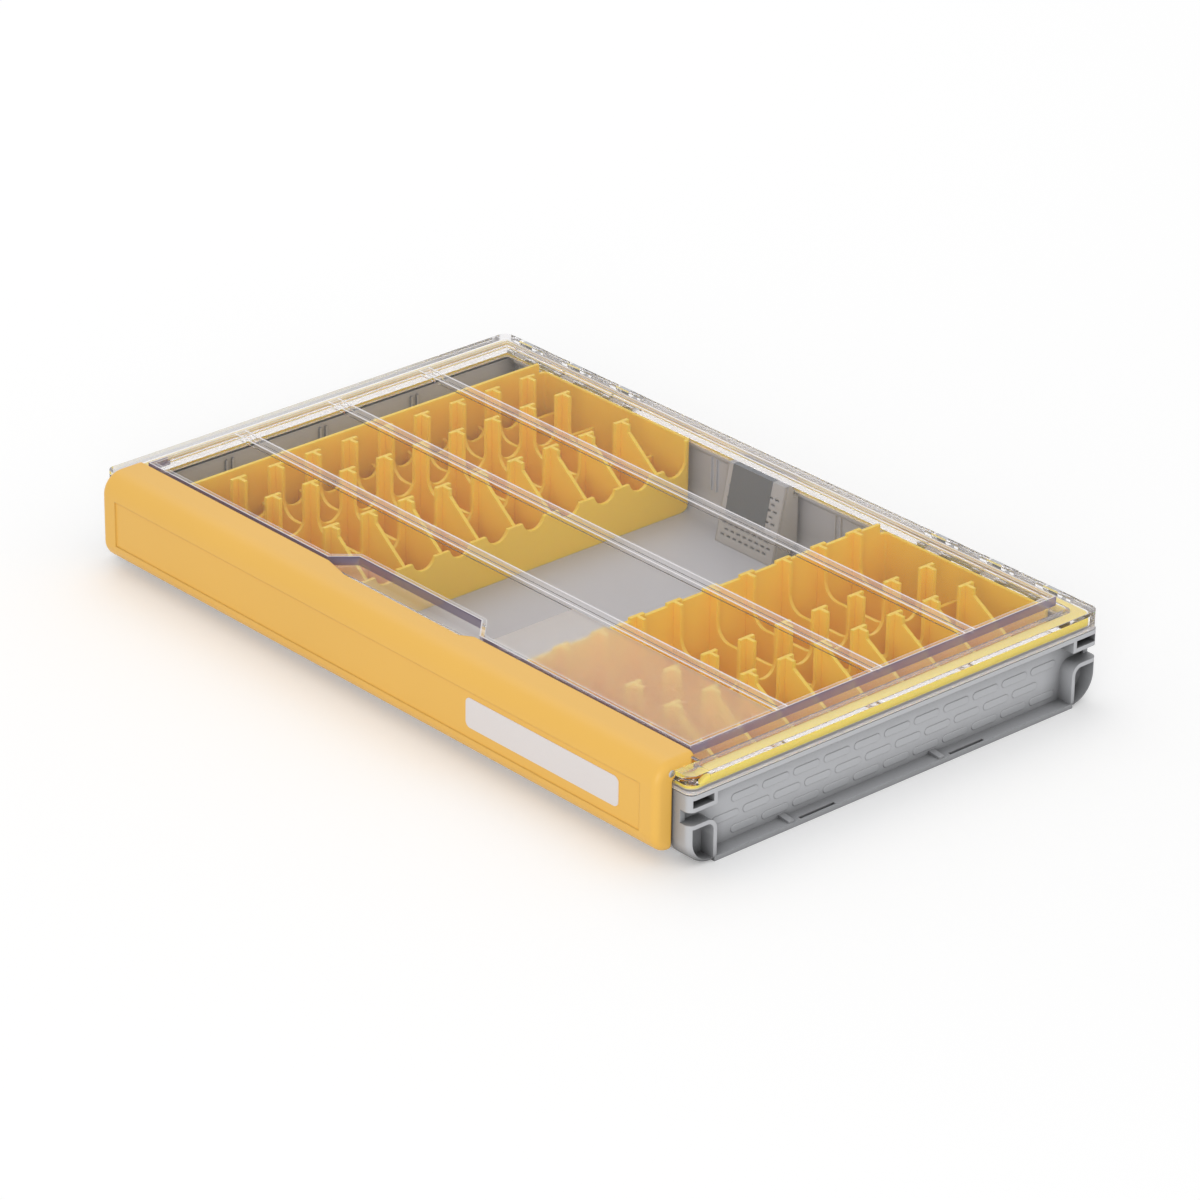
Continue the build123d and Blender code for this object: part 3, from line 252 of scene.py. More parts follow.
def moulded_plastic(
    name, base_colour, roughness, grain_mm, grain_depth_mm, edge_mm, ior=1.53, glow=0.0, pockets=1.0
):
    """A solid-coloured injection moulding.

    A fine spark-eroded grain comes from noise at grain_mm, the colour drifts by about two
    percent over 60 mm as the melt flowed, and the edges catch light over edge_mm. The glow
    is the share of light that spreads inside thin walls. Further than pockets from the
    middle, in metres along x, corners that are closed in within 10 mm get painted shade:
    an ambient occlusion node darkens their colour."""
    material, tree = new_material(name)
    place = add_node(tree, "ShaderNodeTexCoord").outputs["Object"]
    grain = add_node(
        tree,
        "ShaderNodeTexNoise",
        inputs={"Vector": place, "Scale": 1 / (grain_mm * MM), "Detail": 2.0, "Roughness": 0.6},
    )
    flow = add_node(
        tree,
        "ShaderNodeTexNoise",
        inputs={"Vector": place, "Scale": 1 / (60 * MM), "Detail": 2.0, "Roughness": 0.5},
    )
    shade = add_node(
        tree,
        "ShaderNodeMapRange",
        inputs={"Value": flow.outputs["Fac"], "To Min": 0.96, "To Max": 1.03},
    )
    tinted = add_node(
        tree,
        "ShaderNodeMix",
        {"data_type": "RGBA", "blend_type": "MULTIPLY"},
        {"Factor": 1.0, "A": base_colour, "B": shade.outputs["Result"]},
    )
    # Painted shade: the colour is darkened in closed-in corners by ambient occlusion.
    painted_crevice_shade = add_node(
        tree,
        "ShaderNodeAmbientOcclusion",
        {"samples": 4},
        {"Color": tinted.outputs["Result"], "Distance": 10 * MM},
    )
    across = add_node(tree, "ShaderNodeSeparateXYZ", inputs={"Vector": place}).outputs["X"]
    reach = add_node(tree, "ShaderNodeMath", {"operation": "ABSOLUTE"}, {0: across}).outputs[0]
    far_out = add_node(
        tree, "ShaderNodeMath", {"operation": "GREATER_THAN"}, {0: reach, 1: pockets}
    ).outputs[0]
    shaded = add_node(
        tree,
        "ShaderNodeMix",
        {"data_type": "RGBA"},
        {"Factor": far_out, "A": tinted.outputs["Result"], "B": painted_crevice_shade.outputs["Color"]},
    )
    gloss = add_node(
        tree,
        "ShaderNodeMapRange",
        inputs={
            "Value": grain.outputs["Fac"],
            "To Min": roughness - 0.05,
            "To Max": roughness + 0.05,
        },
    )
    soft_edge = add_node(tree, "ShaderNodeBevel", {"samples": 4}, {"Radius": edge_mm * MM})
    relief = add_node(
        tree,
        "ShaderNodeBump",
        inputs={
            "Height": grain.outputs["Fac"],
            "Strength": 0.5,
            "Distance": grain_depth_mm * MM,
            "Normal": soft_edge.outputs["Normal"],
        },
    )
    shader = add_node(
        tree,
        "ShaderNodeBsdfPrincipled",
        inputs={
            "Base Color": shaded.outputs["Result"],
            "Roughness": gloss.outputs["Result"],
            "Normal": relief.outputs["Normal"],
            "IOR": ior,
            "Subsurface Weight": glow,
            "Subsurface Radius": (1.0, 0.7, 0.2),
            "Subsurface Scale": 3 * MM,
        },
    )
    add_node(tree, "ShaderNodeOutputMaterial", inputs={"Surface": shader.outputs["BSDF"]})
    return material


def inside(tree, limits):
    """One where every value lies within its half width of its centre, and zero elsewhere."""
    product = None
    for value, centre, half in limits:
        near = add_node(
            tree, "ShaderNodeMath", {"operation": "COMPARE"}, {0: value, 1: centre, 2: half}
        ).outputs[0]
        if product is not None:
            near = add_node(
                tree, "ShaderNodeMath", {"operation": "MULTIPLY"}, {0: product, 1: near}
            ).outputs[0]
        product = near
    return product


def distance_in_plan(tree, place, lines, pick):
    """The least (MINIMUM) or greatest (MAXIMUM) distance from lines on the X-Y plane.

    Each line is a unit direction (a, b) and an offset c, in metres, and the distance from
    it is a x + b y + c."""
    result = None
    for across, back, offset in lines:
        along = add_node(
            tree, "ShaderNodeVectorMath", {"operation": "DOT_PRODUCT"}, {0: place, 1: (across, back, 0)}
        )
        distance = add_node(
            tree, "ShaderNodeMath", {"operation": "ADD"}, {0: along.outputs["Value"], 1: offset}
        ).outputs[0]
        if result is not None:
            distance = add_node(
                tree, "ShaderNodeMath", {"operation": pick}, {0: result, 1: distance}
            ).outputs[0]
        result = distance
    return result


def slope_line(run, depth, x, y, side):
    """The line along one slanted end of the scoop, as its direction and offset.

    It goes through (x, y), leans back by depth over run, and its distance grows away from
    the scoop, towards side."""
    length_of_slope = math.hypot(run, depth)
    across = side * depth / length_of_slope
    back = run / length_of_slope
    return across, back, -(across * x + back * y)


def inset_from_plateau_edge(tree, place, sizes):
    """How far each point of the raised middle lies inside its outline.

    It is the lesser of the distance from the four straight sides and the distance from the
    scoop, which is the greatest of the distances from its three lines."""
    low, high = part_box("lid")
    left = low.x + RAISED_INSET
    right = high.x - RAISED_INSET
    front = sizes.plateau_front
    back = sizes.plateau_back
    sides = distance_in_plan(
        tree, place, ((1, 0, -left), (-1, 0, right), (0, 1, -front), (0, -1, back)), "MINIMUM"
    )
    depth = sizes.scoop_depth
    scoop = distance_in_plan(
        tree,
        place,
        (
            (0, 1, -(front + depth)),
            slope_line(SCOOP_LEFT_RUN, depth, sizes.scoop_left, front, -1),
            slope_line(SCOOP_RIGHT_RUN, depth, sizes.scoop_right, front, 1),
        ),
        "MAXIMUM",
    )
    return add_node(
        tree, "ShaderNodeMath", {"operation": "MINIMUM"}, {0: sides, 1: scoop}
    ).outputs[0]


def lid_whiteness(tree, sizes, axes, inset):
    """How white each point of the lid is, from 0 to 1, and where it is etched.

    The etched window is a rectangle of the raised top, frosted white. A rib pair is a faint
    white band 6.6 mm wide with two painted highlight lines: its distance t from the nearest
    pair is y, wrapped every 50 mm, the band is |t| below 3.3 mm and the lines are |t| within
    0.4 mm of 2.6 mm. The wall under the edge of the raised middle shows as a painted white band
    2.2 mm wide between two painted highlight lines. The rim's top and its skirt are faintly
    whitened with painted light. The edges carry a painted highlight: an edge is where the
    normal, averaged over lid_edge, leaves the true normal."""
    low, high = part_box("lid")
    right = high.x - WINDOW_RIGHT_INSET
    front = low.y + WINDOW_FRONT_INSET
    top = (axes.outputs["Z"], high.z, FACE_SLACK)
    across = (right + sizes.window_left) / 2
    deep = (front + sizes.window_back) / 2
    window = inside(
        tree,
        (
            (axes.outputs["X"], across, right - across),
            (axes.outputs["Y"], deep, sizes.window_back - deep),
            top,
        ),
    )
    from_middle = add_node(
        tree,
        "ShaderNodeMath",
        {"operation": "SUBTRACT"},
        {0: axes.outputs["Y"], 1: sizes.rib_middle},
    )
    wrapped = add_node(
        tree,
        "ShaderNodeMath",
        {"operation": "WRAP"},
        {0: from_middle.outputs[0], 1: sizes.rib_spacing / 2, 2: -sizes.rib_spacing / 2},
    )
    reach = add_node(
        tree, "ShaderNodeMath", {"operation": "ABSOLUTE"}, {0: wrapped.outputs[0]}
    ).outputs[0]
    pairs = (axes.outputs["Y"], sizes.rib_middle, 1.2 * sizes.rib_spacing)
    ends = (axes.outputs["X"], 0.0, high.x - 14.0 * MM)
    band = inside(tree, ((reach, 0.0, RIB_BAND_HALF), pairs, ends, top))
    lines = inside(tree, ((reach, RIB_LINE_OFFSET, RIB_LINE_HALF), pairs, ends, top))
    wall = inside(tree, ((inset, WALL_BAND_HALF, WALL_BAND_HALF), top))
    wall_outside = inside(tree, ((inset, OUTER_LINE_HALF, OUTER_LINE_HALF), top))
    wall_inside = inside(tree, ((inset, INNER_LINE_INSET, INNER_LINE_HALF), top))
    rounded = add_node(tree, "ShaderNodeBevel", {"samples": 4}, {"Radius": sizes.lid_edge})
    true_normal = add_node(tree, "ShaderNodeNewGeometry").outputs["True Normal"]
    straight = add_node(
        tree,
        "ShaderNodeVectorMath",
        {"operation": "DOT_PRODUCT"},
        {0: rounded.outputs["Normal"], 1: true_normal},
    )
    # Painted highlight: white mixed in where the lid's edges round over.
    edge = add_node(
        tree,
        "ShaderNodeMapRange",
        inputs={
            "Value": straight.outputs["Value"],
            "From Min": 0.97,
            "From Max": 0.75,
            "To Min": 0.0,
            "To Max": 0.25,
        },
    ).outputs["Result"]
    rim = inside(tree, ((axes.outputs["Z"], high.z - RAISED_HEIGHT, FACE_SLACK),))
    skirt = inside(tree, ((axes.outputs["Z"], high.z - SKIRT_DROP, SKIRT_HALF),))
    # Painted highlights and painted light on the rib lines, the raised wall, the rim and the skirt; the
    # window's share is its etched frosting.
    white = edge
    shares = (
        (window, 0.2),
        (band, 0.2),
        (lines, 0.65),
        (wall, 0.2),
        (wall_outside, 0.5),
        (wall_inside, 0.4),
        (rim, 0.15),
        (skirt, 0.35),
    )
    for mask, share in shares:
        white = add_node(
            tree,
            "ShaderNodeMath",
            {"operation": "MULTIPLY_ADD", "use_clamp": True},
            {0: mask, 1: share, 2: white},
        ).outputs[0]
    return white, window


def near_walls(tree, sizes, axes):
    """One on the upright walls of the raised middle that face right or front, which are painted violet
    grey.

    They are the faces above the rim that stand within 30 degrees of upright, and that lie
    within 1 mm of the right wall or between the front edge and the back of the scoop."""
    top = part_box("lid")[1]
    geometry = add_node(tree, "ShaderNodeNewGeometry")
    facing = add_node(
        tree, "ShaderNodeSeparateXYZ", inputs={"Vector": geometry.outputs["True Normal"]}
    )
    upright = (
        (facing.outputs["Z"], 0.0, 0.5),
        (axes.outputs["Z"], top.z, RAISED_HEIGHT - 0.1 * MM),
    )
    right = inside(tree, (*upright, (axes.outputs["X"], top.x - RAISED_INSET, 1.0 * MM)))
    half = sizes.scoop_depth / 2
    front = inside(
        tree, (*upright, (axes.outputs["Y"], sizes.plateau_front + half, half + 0.5 * MM))
    )
    return add_node(
        tree, "ShaderNodeMath", {"operation": "MAXIMUM"}, {0: right, 1: front}
    ).outputs[0]


def clear_polycarbonate(sizes):
    """The lid: injection-moulded polycarbonate with a violet toner.

    Its IOR is set below polycarbonate's 1.585: at 1.12 over the raised middle, so that what
    lies under it stays undoubled, as in the real lid, and at 1.22 in the rim, whose thicker
    walls then show a grey outline. The near walls of the raised middle, through which one
    looks lengthwise, are painted three quarters violet grey, standing in for the toner seen
    along them. White painted highlights lie on the lid's edges and lines. The etched window
    scatters what lies under it, through a 1.2 mm diamond grain. Light on its way to the racks
    passes straight through, as it does through thin clear plastic."""
    material, tree = new_material("clear_polycarbonate")
    place = add_node(tree, "ShaderNodeTexCoord").outputs["Object"]
    axes = add_node(tree, "ShaderNodeSeparateXYZ", inputs={"Vector": place})
    inset = inset_from_plateau_edge(tree, place, sizes)
    white, window = lid_whiteness(tree, sizes, axes, inset)
    near = near_walls(tree, sizes, axes)
    etched = add_node(
        tree,
        "ShaderNodeMapRange",
        inputs={"Value": window, "To Min": 0.03, "To Max": 0.5},
    )
    grain = add_node(
        tree,
        "ShaderNodeTexVoronoi",
        {"feature": "F1", "distance": "MANHATTAN"},
        {"Vector": place, "Scale": 1 / (1.2 * MM), "Randomness": 0.15},
    )
    depth = add_node(
        tree,
        "ShaderNodeMath",
        {"operation": "MULTIPLY"},
        {0: grain.outputs["Distance"], 1: window},
    )
    relief = add_node(
        tree,
        "ShaderNodeBump",
        inputs={"Height": depth.outputs[0], "Strength": 0.35, "Distance": 0.05 * MM},
    )
    rim_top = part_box("lid")[1].z - RAISED_HEIGHT
    bend = add_node(
        tree,
        "ShaderNodeMapRange",
        inputs={
            "Value": axes.outputs["Z"],
            "From Min": rim_top + 0.2 * MM,
            "From Max": rim_top + 0.4 * MM,
            "To Min": 1.22,
            "To Max": 1.12,
        },
    )
    shader = add_node(
        tree,
        "ShaderNodeBsdfPrincipled",
        inputs={
            "Base Color": linear("#FDFCFD"),
            "Roughness": etched.outputs["Result"],
            "IOR": bend.outputs["Result"],
            "Transmission Weight": 1.0,
            "Normal": relief.outputs["Normal"],
        },
    )
    # Painted violet grey on the near walls, standing in for the toner seen lengthwise through them.
    toner = add_node(
        tree,
        "ShaderNodeMix",
        {"data_type": "RGBA"},
        {"Factor": near, "A": linear("#F4F1F3"), "B": linear("#9188A2")},
    )
    # A white and violet diffuse layer: the window's frosting, painted highlights and the painted violet
    # grey of the near walls.
    frost_and_painted_light = add_node(tree, "ShaderNodeBsdfDiffuse", inputs={"Color": toner.outputs["Result"]})
    share = add_node(
        tree,
        "ShaderNodeMath",
        {"operation": "MULTIPLY_ADD", "use_clamp": True},
        {0: near, 1: 0.75, 2: white},
    )
    body = add_node(
        tree,
        "ShaderNodeMixShader",
        inputs={0: share.outputs[0], 1: shader.outputs["BSDF"], 2: frost_and_painted_light.outputs["BSDF"]},
    )
    rays = add_node(tree, "ShaderNodeLightPath")
    through = add_node(
        tree,
        "ShaderNodeMath",
        {"operation": "MAXIMUM"},
        {0: rays.outputs["Is Shadow Ray"], 1: rays.outputs["Is Diffuse Ray"]},
    )
    clear = add_node(tree, "ShaderNodeBsdfTransparent", inputs={"Color": linear("#FCFBFC")})
    mixed = add_node(
        tree,
        "ShaderNodeMixShader",
        inputs={0: through.outputs[0], 1: body.outputs["Shader"], 2: clear.outputs["BSDF"]},
    )
    add_node(tree, "ShaderNodeOutputMaterial", inputs={"Surface": mixed.outputs["Shader"]})
    return material


def drawn_steel():
    """Hinge wire: drawn stainless steel, with fine lines along its length at 0.15 mm."""
    material, tree = new_material("drawn_stainless_steel")
    place = add_node(tree, "ShaderNodeTexCoord").outputs["Object"]
    stretched = add_node(
        tree, "ShaderNodeMapping", inputs={"Vector": place, "Scale": (0.04, 1.0, 1.0)}
    )
    lines = add_node(
        tree,
        "ShaderNodeTexNoise",
        inputs={"Vector": stretched.outputs["Vector"], "Scale": 1 / (0.15 * MM), "Detail": 2.0},
    )
    gloss = add_node(
        tree,
        "ShaderNodeMapRange",
        inputs={"Value": lines.outputs["Fac"], "To Min": 0.24, "To Max": 0.42},
    )
    shader = add_node(
        tree,
        "ShaderNodeBsdfPrincipled",
        inputs={
            "Base Color": linear("#C3C4C6"),
            "Metallic": 1.0,
            "Roughness": gloss.outputs["Result"],
        },
    )
    add_node(tree, "ShaderNodeOutputMaterial", inputs={"Surface": shader.outputs["BSDF"]})
    return material


def printed_film(name, base_colour, roughness):
    """A paper-faced label film: fibres at 0.4 mm show as a slight mottle and tooth."""
    material, tree = new_material(name)
    place = add_node(tree, "ShaderNodeTexCoord").outputs["Object"]
    fibres = add_node(
        tree,
        "ShaderNodeTexNoise",
        inputs={"Vector": place, "Scale": 1 / (0.4 * MM), "Detail": 3.0, "Roughness": 0.7},
    )
    shade = add_node(
        tree,
        "ShaderNodeMapRange",
        inputs={"Value": fibres.outputs["Fac"], "To Min": 0.97, "To Max": 1.02},
    )
    tinted = add_node(
        tree,
        "ShaderNodeMix",
        {"data_type": "RGBA", "blend_type": "MULTIPLY"},
        {"Factor": 1.0, "A": base_colour, "B": shade.outputs["Result"]},
    )
    relief = add_node(
        tree,
        "ShaderNodeBump",
        inputs={"Height": fibres.outputs["Fac"], "Strength": 0.3, "Distance": 0.01 * MM},
    )
    shader = add_node(
        tree,
        "ShaderNodeBsdfPrincipled",
        inputs={
            "Base Color": tinted.outputs["Result"],
            "Roughness": roughness,
            "Normal": relief.outputs["Normal"],
        },
    )
    add_node(tree, "ShaderNodeOutputMaterial", inputs={"Surface": shader.outputs["BSDF"]})
    return material


def bonded_fibre():
    """The drying pack's bag: bonded polyester fibre, with strands at about 0.8 mm."""
    material, tree = new_material("bonded_fibre")
    place = add_node(tree, "ShaderNodeTexCoord").outputs["Object"]
    strands = add_node(
        tree,
        "ShaderNodeTexNoise",
        inputs={"Vector": place, "Scale": 1 / (0.8 * MM), "Detail": 4.0, "Distortion": 1.5},
    )
    shade = add_node(
        tree,
        "ShaderNodeMapRange",
        inputs={"Value": strands.outputs["Fac"], "To Min": 0.85, "To Max": 1.0},
    )
    tinted = add_node(
        tree,
        "ShaderNodeMix",
        {"data_type": "RGBA", "blend_type": "MULTIPLY"},
        {"Factor": 1.0, "A": linear("#E6E4DF"), "B": shade.outputs["Result"]},
    )
    relief = add_node(
        tree,
        "ShaderNodeBump",
        inputs={"Height": strands.outputs["Fac"], "Strength": 0.6, "Distance": 0.05 * MM},
    )
    shader = add_node(
        tree,
        "ShaderNodeBsdfPrincipled",
        inputs={
            "Base Color": tinted.outputs["Result"],
            "Roughness": 0.9,
            "Normal": relief.outputs["Normal"],
        },
    )
    add_node(tree, "ShaderNodeOutputMaterial", inputs={"Surface": shader.outputs["BSDF"]})
    return material


def finish_node(node, material):
    """Gives a CAD piece its finish; its shape and place stay as they are."""
    piece = NODES[node]
    piece.data.materials.clear()
    piece.data.materials.append(material)


def mesh_piece(name, points, faces, material, body):
    """A mesh piece made of arrays, which rides on a body."""
    mesh = bpy.data.meshes.new(name)
    mesh.from_pydata(points, [], faces)
    mesh.update()
    mesh.materials.append(material)
    piece = bpy.data.objects.new(name, mesh)
    bpy.context.scene.collection.objects.link(piece)
    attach(piece, body)
    return piece


def stadium(count, run, height):
    """Points of a stadium outline, count of them, centred on zero.

    The angle t goes once round: y is (run - height) / 2 towards the side that cos t
    points to, plus height / 2 times cos t, and z is height / 2 times sin t."""
    t = (np.arange(count) + 0.5) * 2 * np.pi / count
    y = np.sign(np.cos(t)) * (run - height) / 2 + np.cos(t) * height / 2
    return y, np.sin(t) * height / 2


def stack_faces(rings, count, side):
    """Quads between rings of count points, and the face that closes the last ring.

    On the left side, where x runs the other way, the faces are turned round."""
    k, i = np.meshgrid(np.arange(rings - 1), np.arange(count), indexing="ij")
    nxt = (i + 1) % count
    quads = np.stack(
        [k * count + i, k * count + nxt, (k + 1) * count + nxt, (k + 1) * count + i], -1
    ).reshape(-1, 4)
    cap = np.arange((rings - 1) * count, rings * count)
    if side < 0:
        return quads[:, ::-1], cap[::-1]
    return quads, cap


def end_wall_pads(sizes, side):
    """The raised pads of one end wall, in four staggered rows.

    A pad is a stack of shrinking stadium outlines: ring k of 4 stands relief * sin(k / 3 * 90
    degrees) out of the wall and is smaller by relief * (1 - cos(k / 3 * 90 degrees)) all round, and
    the last ring is filled."""
    count = 20
    rings = 4
    rows = 4
    pads_in_row = 11
    wall_inset = 6.8 * MM
    wall_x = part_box("base_shell")[1].x - wall_inset
    lowest_row = 5.7 * MM
    row_starts = (-72.1 * MM, -82.0 * MM)
    sunk = 0.05 * MM
    turn = np.arange(rings) / (rings - 1) * np.pi / 2
    out = sizes.pad_relief * np.sin(turn)
    shrink = 2 * sizes.pad_relief * (1 - np.cos(turn))
    outlines = [stadium(count, sizes.pad_length - s, sizes.pad_height - s) for s in shrink]
    ring_y = np.array([outline[0] for outline in outlines]).ravel()
    ring_z = np.array([outline[1] for outline in outlines]).ravel()
    ring_x = np.repeat(out, count) - sunk
    centres = []
    for row in range(rows):
        y = row_starts[row % 2] + sizes.pad_pitch * np.arange(pads_in_row)
        z = np.full(pads_in_row, lowest_row + sizes.pad_row_pitch * row)
        centres.append(np.stack([y, z], 1))
    centres = np.concatenate(centres)
    points = np.stack(
        [
            np.tile(side * (wall_x + ring_x), (len(centres), 1)),
            centres[:, :1] + ring_y,
            centres[:, 1:] + ring_z,
        ],
        2,
    ).reshape(-1, 3)
    quads, cap = stack_faces(rings, count, side)
    starts = np.arange(len(centres)) * rings * count
    faces = (quads[None] + starts[:, None, None]).reshape(-1, 4).tolist()
    faces += (cap[None] + starts[:, None]).tolist()
    return points, faces


def rounded_outline(low, high, radius, count, steps):
    """Points of a rounded rectangle, anticlockwise.

    Corner k is a quarter circle of the radius, as count points, about a centre one radius
    in from the corner, through the angles from k to k + 1 quarter turns. Each straight side
    between two corners is cut into steps."""
    turn = np.linspace(0, np.pi / 2, count)[None, :] + np.arange(4)[:, None] * np.pi / 2
    side_x = np.array([1, -1, -1, 1])[:, None]
    side_y = np.array([1, 1, -1, -1])[:, None]
    middle = (np.array(low[:2]) + np.array(high[:2])) / 2
    half = (np.array(high[:2]) - np.array(low[:2])) / 2 - radius
    x = middle[0] + side_x * half[0] + radius * np.cos(turn)
    y = middle[1] + side_y * half[1] + radius * np.sin(turn)
    one_corner = np.concatenate([np.arange(count - 1), count - 1 + np.arange(steps) / steps])
    at = (one_corner[None, :] + count * np.arange(4)[:, None]).ravel()
    known = np.arange(4 * count + 1)
    x = np.interp(at, known, np.append(x.ravel(), x[0, 0]))
    y = np.interp(at, known, np.append(y.ravel(), y[0, 0]))
    return np.stack([x, y], 1)


def ring_faces(rows, count):
    """Quads of a grid that closes on itself both ways, rows by count points."""
    i, k = np.meshgrid(np.arange(rows), np.arange(count), indexing="ij")
    i_next = (i + 1) % rows
    k_next = (k + 1) % count
    corners = (i * count + k, i_next * count + k, i_next * count + k_next, i * count + k_next)
    return np.stack(corners, -1).reshape(-1, 4)


def seal_bead():
    """The seal as a soft bead with a rounded section, carried round the lid's channel.

    At each point of the path the section is a superellipse between the inner and the outer
    outline: across by the sign of cos a times |cos a| ** 0.5, up by the sign of sin a times
    |sin a| ** 0.5. The bead is 2 mm thick along the front, and from SEAL_CROWN_FRONT backwards
    it swells to the seal's full height over 3 mm, as a smooth step."""
    low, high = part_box("seal_ring")
    count = 28
    width = Vector((SEAL_END_WIDTH, SEAL_SIDE_WIDTH, 0.0))
    outer = rounded_outline(low, high, SEAL_CORNER, 9, 40)
    inner = rounded_outline(low + width, high - width, SEAL_CORNER, 9, 40)
    a = np.arange(count) * 2 * np.pi / count
    across = np.sign(np.cos(a)) * np.abs(np.cos(a)) ** 0.5
    up = np.sign(np.sin(a)) * np.abs(np.sin(a)) ** 0.5
    share = (across[None, :, None] + 1) / 2
    plan = inner[:, None] * (1 - share) + outer[:, None] * share
    step = np.clip((inner[:, 1] - SEAL_CROWN_FRONT) / SEAL_SWELL, 0, 1)
    step = step * step * (3 - 2 * step)
    thick = SEAL_THIN + step * (high.z - low.z - SEAL_THIN)
    z = low.z + thick[:, None] * (up[None, :] + 1) / 2
    points = np.concatenate([plan, z[:, :, None]], 2).reshape(-1, 3)
    return points, ring_faces(len(outer), count).tolist()


def pin_head(side):
    """A domed pin head on one end of the latch.

    Ring k of 5 has radius 1.5 mm times cos b and stands 0.25 mm times sin b out of the
    latch's end, for b from 0 to 75 degrees, and the last ring is filled."""
    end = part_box("latch")[1].x
    low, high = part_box("latch_pin_right")
    middle = (low + high) / 2
    count = 20
    rings = 5
    head_radius = 1.5 * MM
    head_height = 0.25 * MM
    sunk = 0.02 * MM
    b = np.linspace(0, np.radians(75), rings)
    t = np.arange(count) * 2 * np.pi / count
    radius = head_radius * np.cos(b)
    out = end - sunk + head_height * np.sin(b)
    x = np.repeat(out, count) * side
    y = middle.y + (radius[:, None] * np.cos(t)).ravel()
    z = middle.z + (radius[:, None] * np.sin(t)).ravel()
    points = np.stack([x, y, z], 1)
    quads, cap = stack_faces(rings, count, side)
    return points, quads.tolist() + [cap.tolist()]


def smooth(piece):
    """Soft shading over a piece's curved faces."""
    piece.data.polygons.foreach_set("use_smooth", np.ones(len(piece.data.polygons), bool))


class LUREBOX_OT_base(Operator):
    """Finish the grey tray and raise the pads on its end walls"""

    bl_idname = "lurebox.base"
    bl_label = "Base tray"

    def execute(self, context):
        colours = context.scene.lure_box_colours
        sizes = context.scene.lure_box_sizes
        # Filled ABS from a spark-eroded mould: matte, with soft highlights on the rims. Painted shade
        # darkens the closed-in corners of its end pockets.
        grey = moulded_plastic(
            "moulded_abs_grey", colours.base_grey, 0.5, 0.5, 0.02, 0.35, pockets=POCKETS_FROM
        )
        finish_node("base_shell", grey)
        for side, word in ((-1, "left"), (1, "right")):
            points, faces = end_wall_pads(sizes, side)
            mesh_piece(f"end_wall_pads_{word}", points, faces, grey, "base")
        return {"FINISHED"}


class LUREBOX_OT_racks(Operator):
    """Finish the two yellow lure racks"""

    bl_idname = "lurebox.racks"
    bl_label = "Lure racks"

    def execute(self, context):
        colours = context.scene.lure_box_colours
        # Polypropylene: waxy, satin, a little deeper in colour where walls face each other.
        yellow = moulded_plastic(
            "moulded_polypropylene", colours.rack_yellow, 0.45, 0.6, 0.015, 0.4, 1.49, glow=0.4
        )
        finish_node("rack_left", yellow)
        finish_node("rack_right", yellow)
        return {"FINISHED"}


class LUREBOX_OT_moisture_case(Operator):
    """Finish the moisture case, its drying pack and its bare label"""

    bl_idname = "lurebox.moisture_case"
    bl_label = "Moisture case"

    def execute(self, context):
        colours = context.scene.lure_box_colours
        # Unpolished polystyrene: pale grey, fine even grain.
        grey = moulded_plastic("moulded_polystyrene", colours.case_grey, 0.55, 0.4, 0.02, 1.2)
        finish_node("moisture_case_body", grey)
        finish_node("moisture_case_cover", grey)
        finish_node("desiccant_pack", bonded_fibre())
        finish_node("moisture_case_label", printed_film("satin_film", colours.film_grey, 0.4))
        return {"FINISHED"}


class LUREBOX_OT_lid(Operator):
    """Finish the clear lid"""

    bl_idname = "lurebox.lid"
    bl_label = "Lid"

    def execute(self, context):
        finish_node("lid", clear_polycarbonate(context.scene.lure_box_sizes))
        return {"FINISHED"}


class LUREBOX_OT_seal(Operator):
    """Finish the soft seal ring"""

    bl_idname = "lurebox.seal"
    bl_label = "Seal ring"

    def execute(self, context):
        colours = context.scene.lure_box_colours
        # Silicone rubber: bright, smooth from the mould, with a broad soft highlight.
        rubber = moulded_plastic(
            "silicone_rubber", colours.seal_yellow, 0.38, 0.8, 0.01, 0.5, 1.41, glow=0.4
        )
        points, faces = seal_bead()
        bead = mesh_piece("seal_bead", points, faces, rubber, "lid")
        smooth(bead)
        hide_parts("seal_ring")
        return {"FINISHED"}


class LUREBOX_OT_latch(Operator):
    """Finish the latch and its bare writing label"""

    bl_idname = "lurebox.latch"
    bl_label = "Latch"

    def execute(self, context):
        colours = context.scene.lure_box_colours
        # Semi-gloss ABS: a very fine grain that blurs the highlight on the rounded edges.
        yellow = moulded_plastic("moulded_abs_yellow", colours.latch_yellow, 0.42, 0.45, 0.012, 0.8)
        finish_node("latch", yellow)
        finish_node("latch_label", printed_film("paper_label", colours.film_white, 0.6))
        return {"FINISHED"}


class LUREBOX_OT_pins(Operator):
    """Finish the steel hinge and latch pins"""

    bl_idname = "lurebox.pins"
    bl_label = "Steel pins"

    def execute(self, context):
        steel = drawn_steel()
        for node in ("hinge_pin_left", "hinge_pin_right", "latch_pin_left", "latch_pin_right"):
            finish_node(node, steel)
        for side, word in ((-1, "left"), (1, "right")):
            points, faces = pin_head(side)
            smooth(mesh_piece(f"latch_pin_head_{word}", points, faces, steel, "latch"))
        return {"FINISHED"}


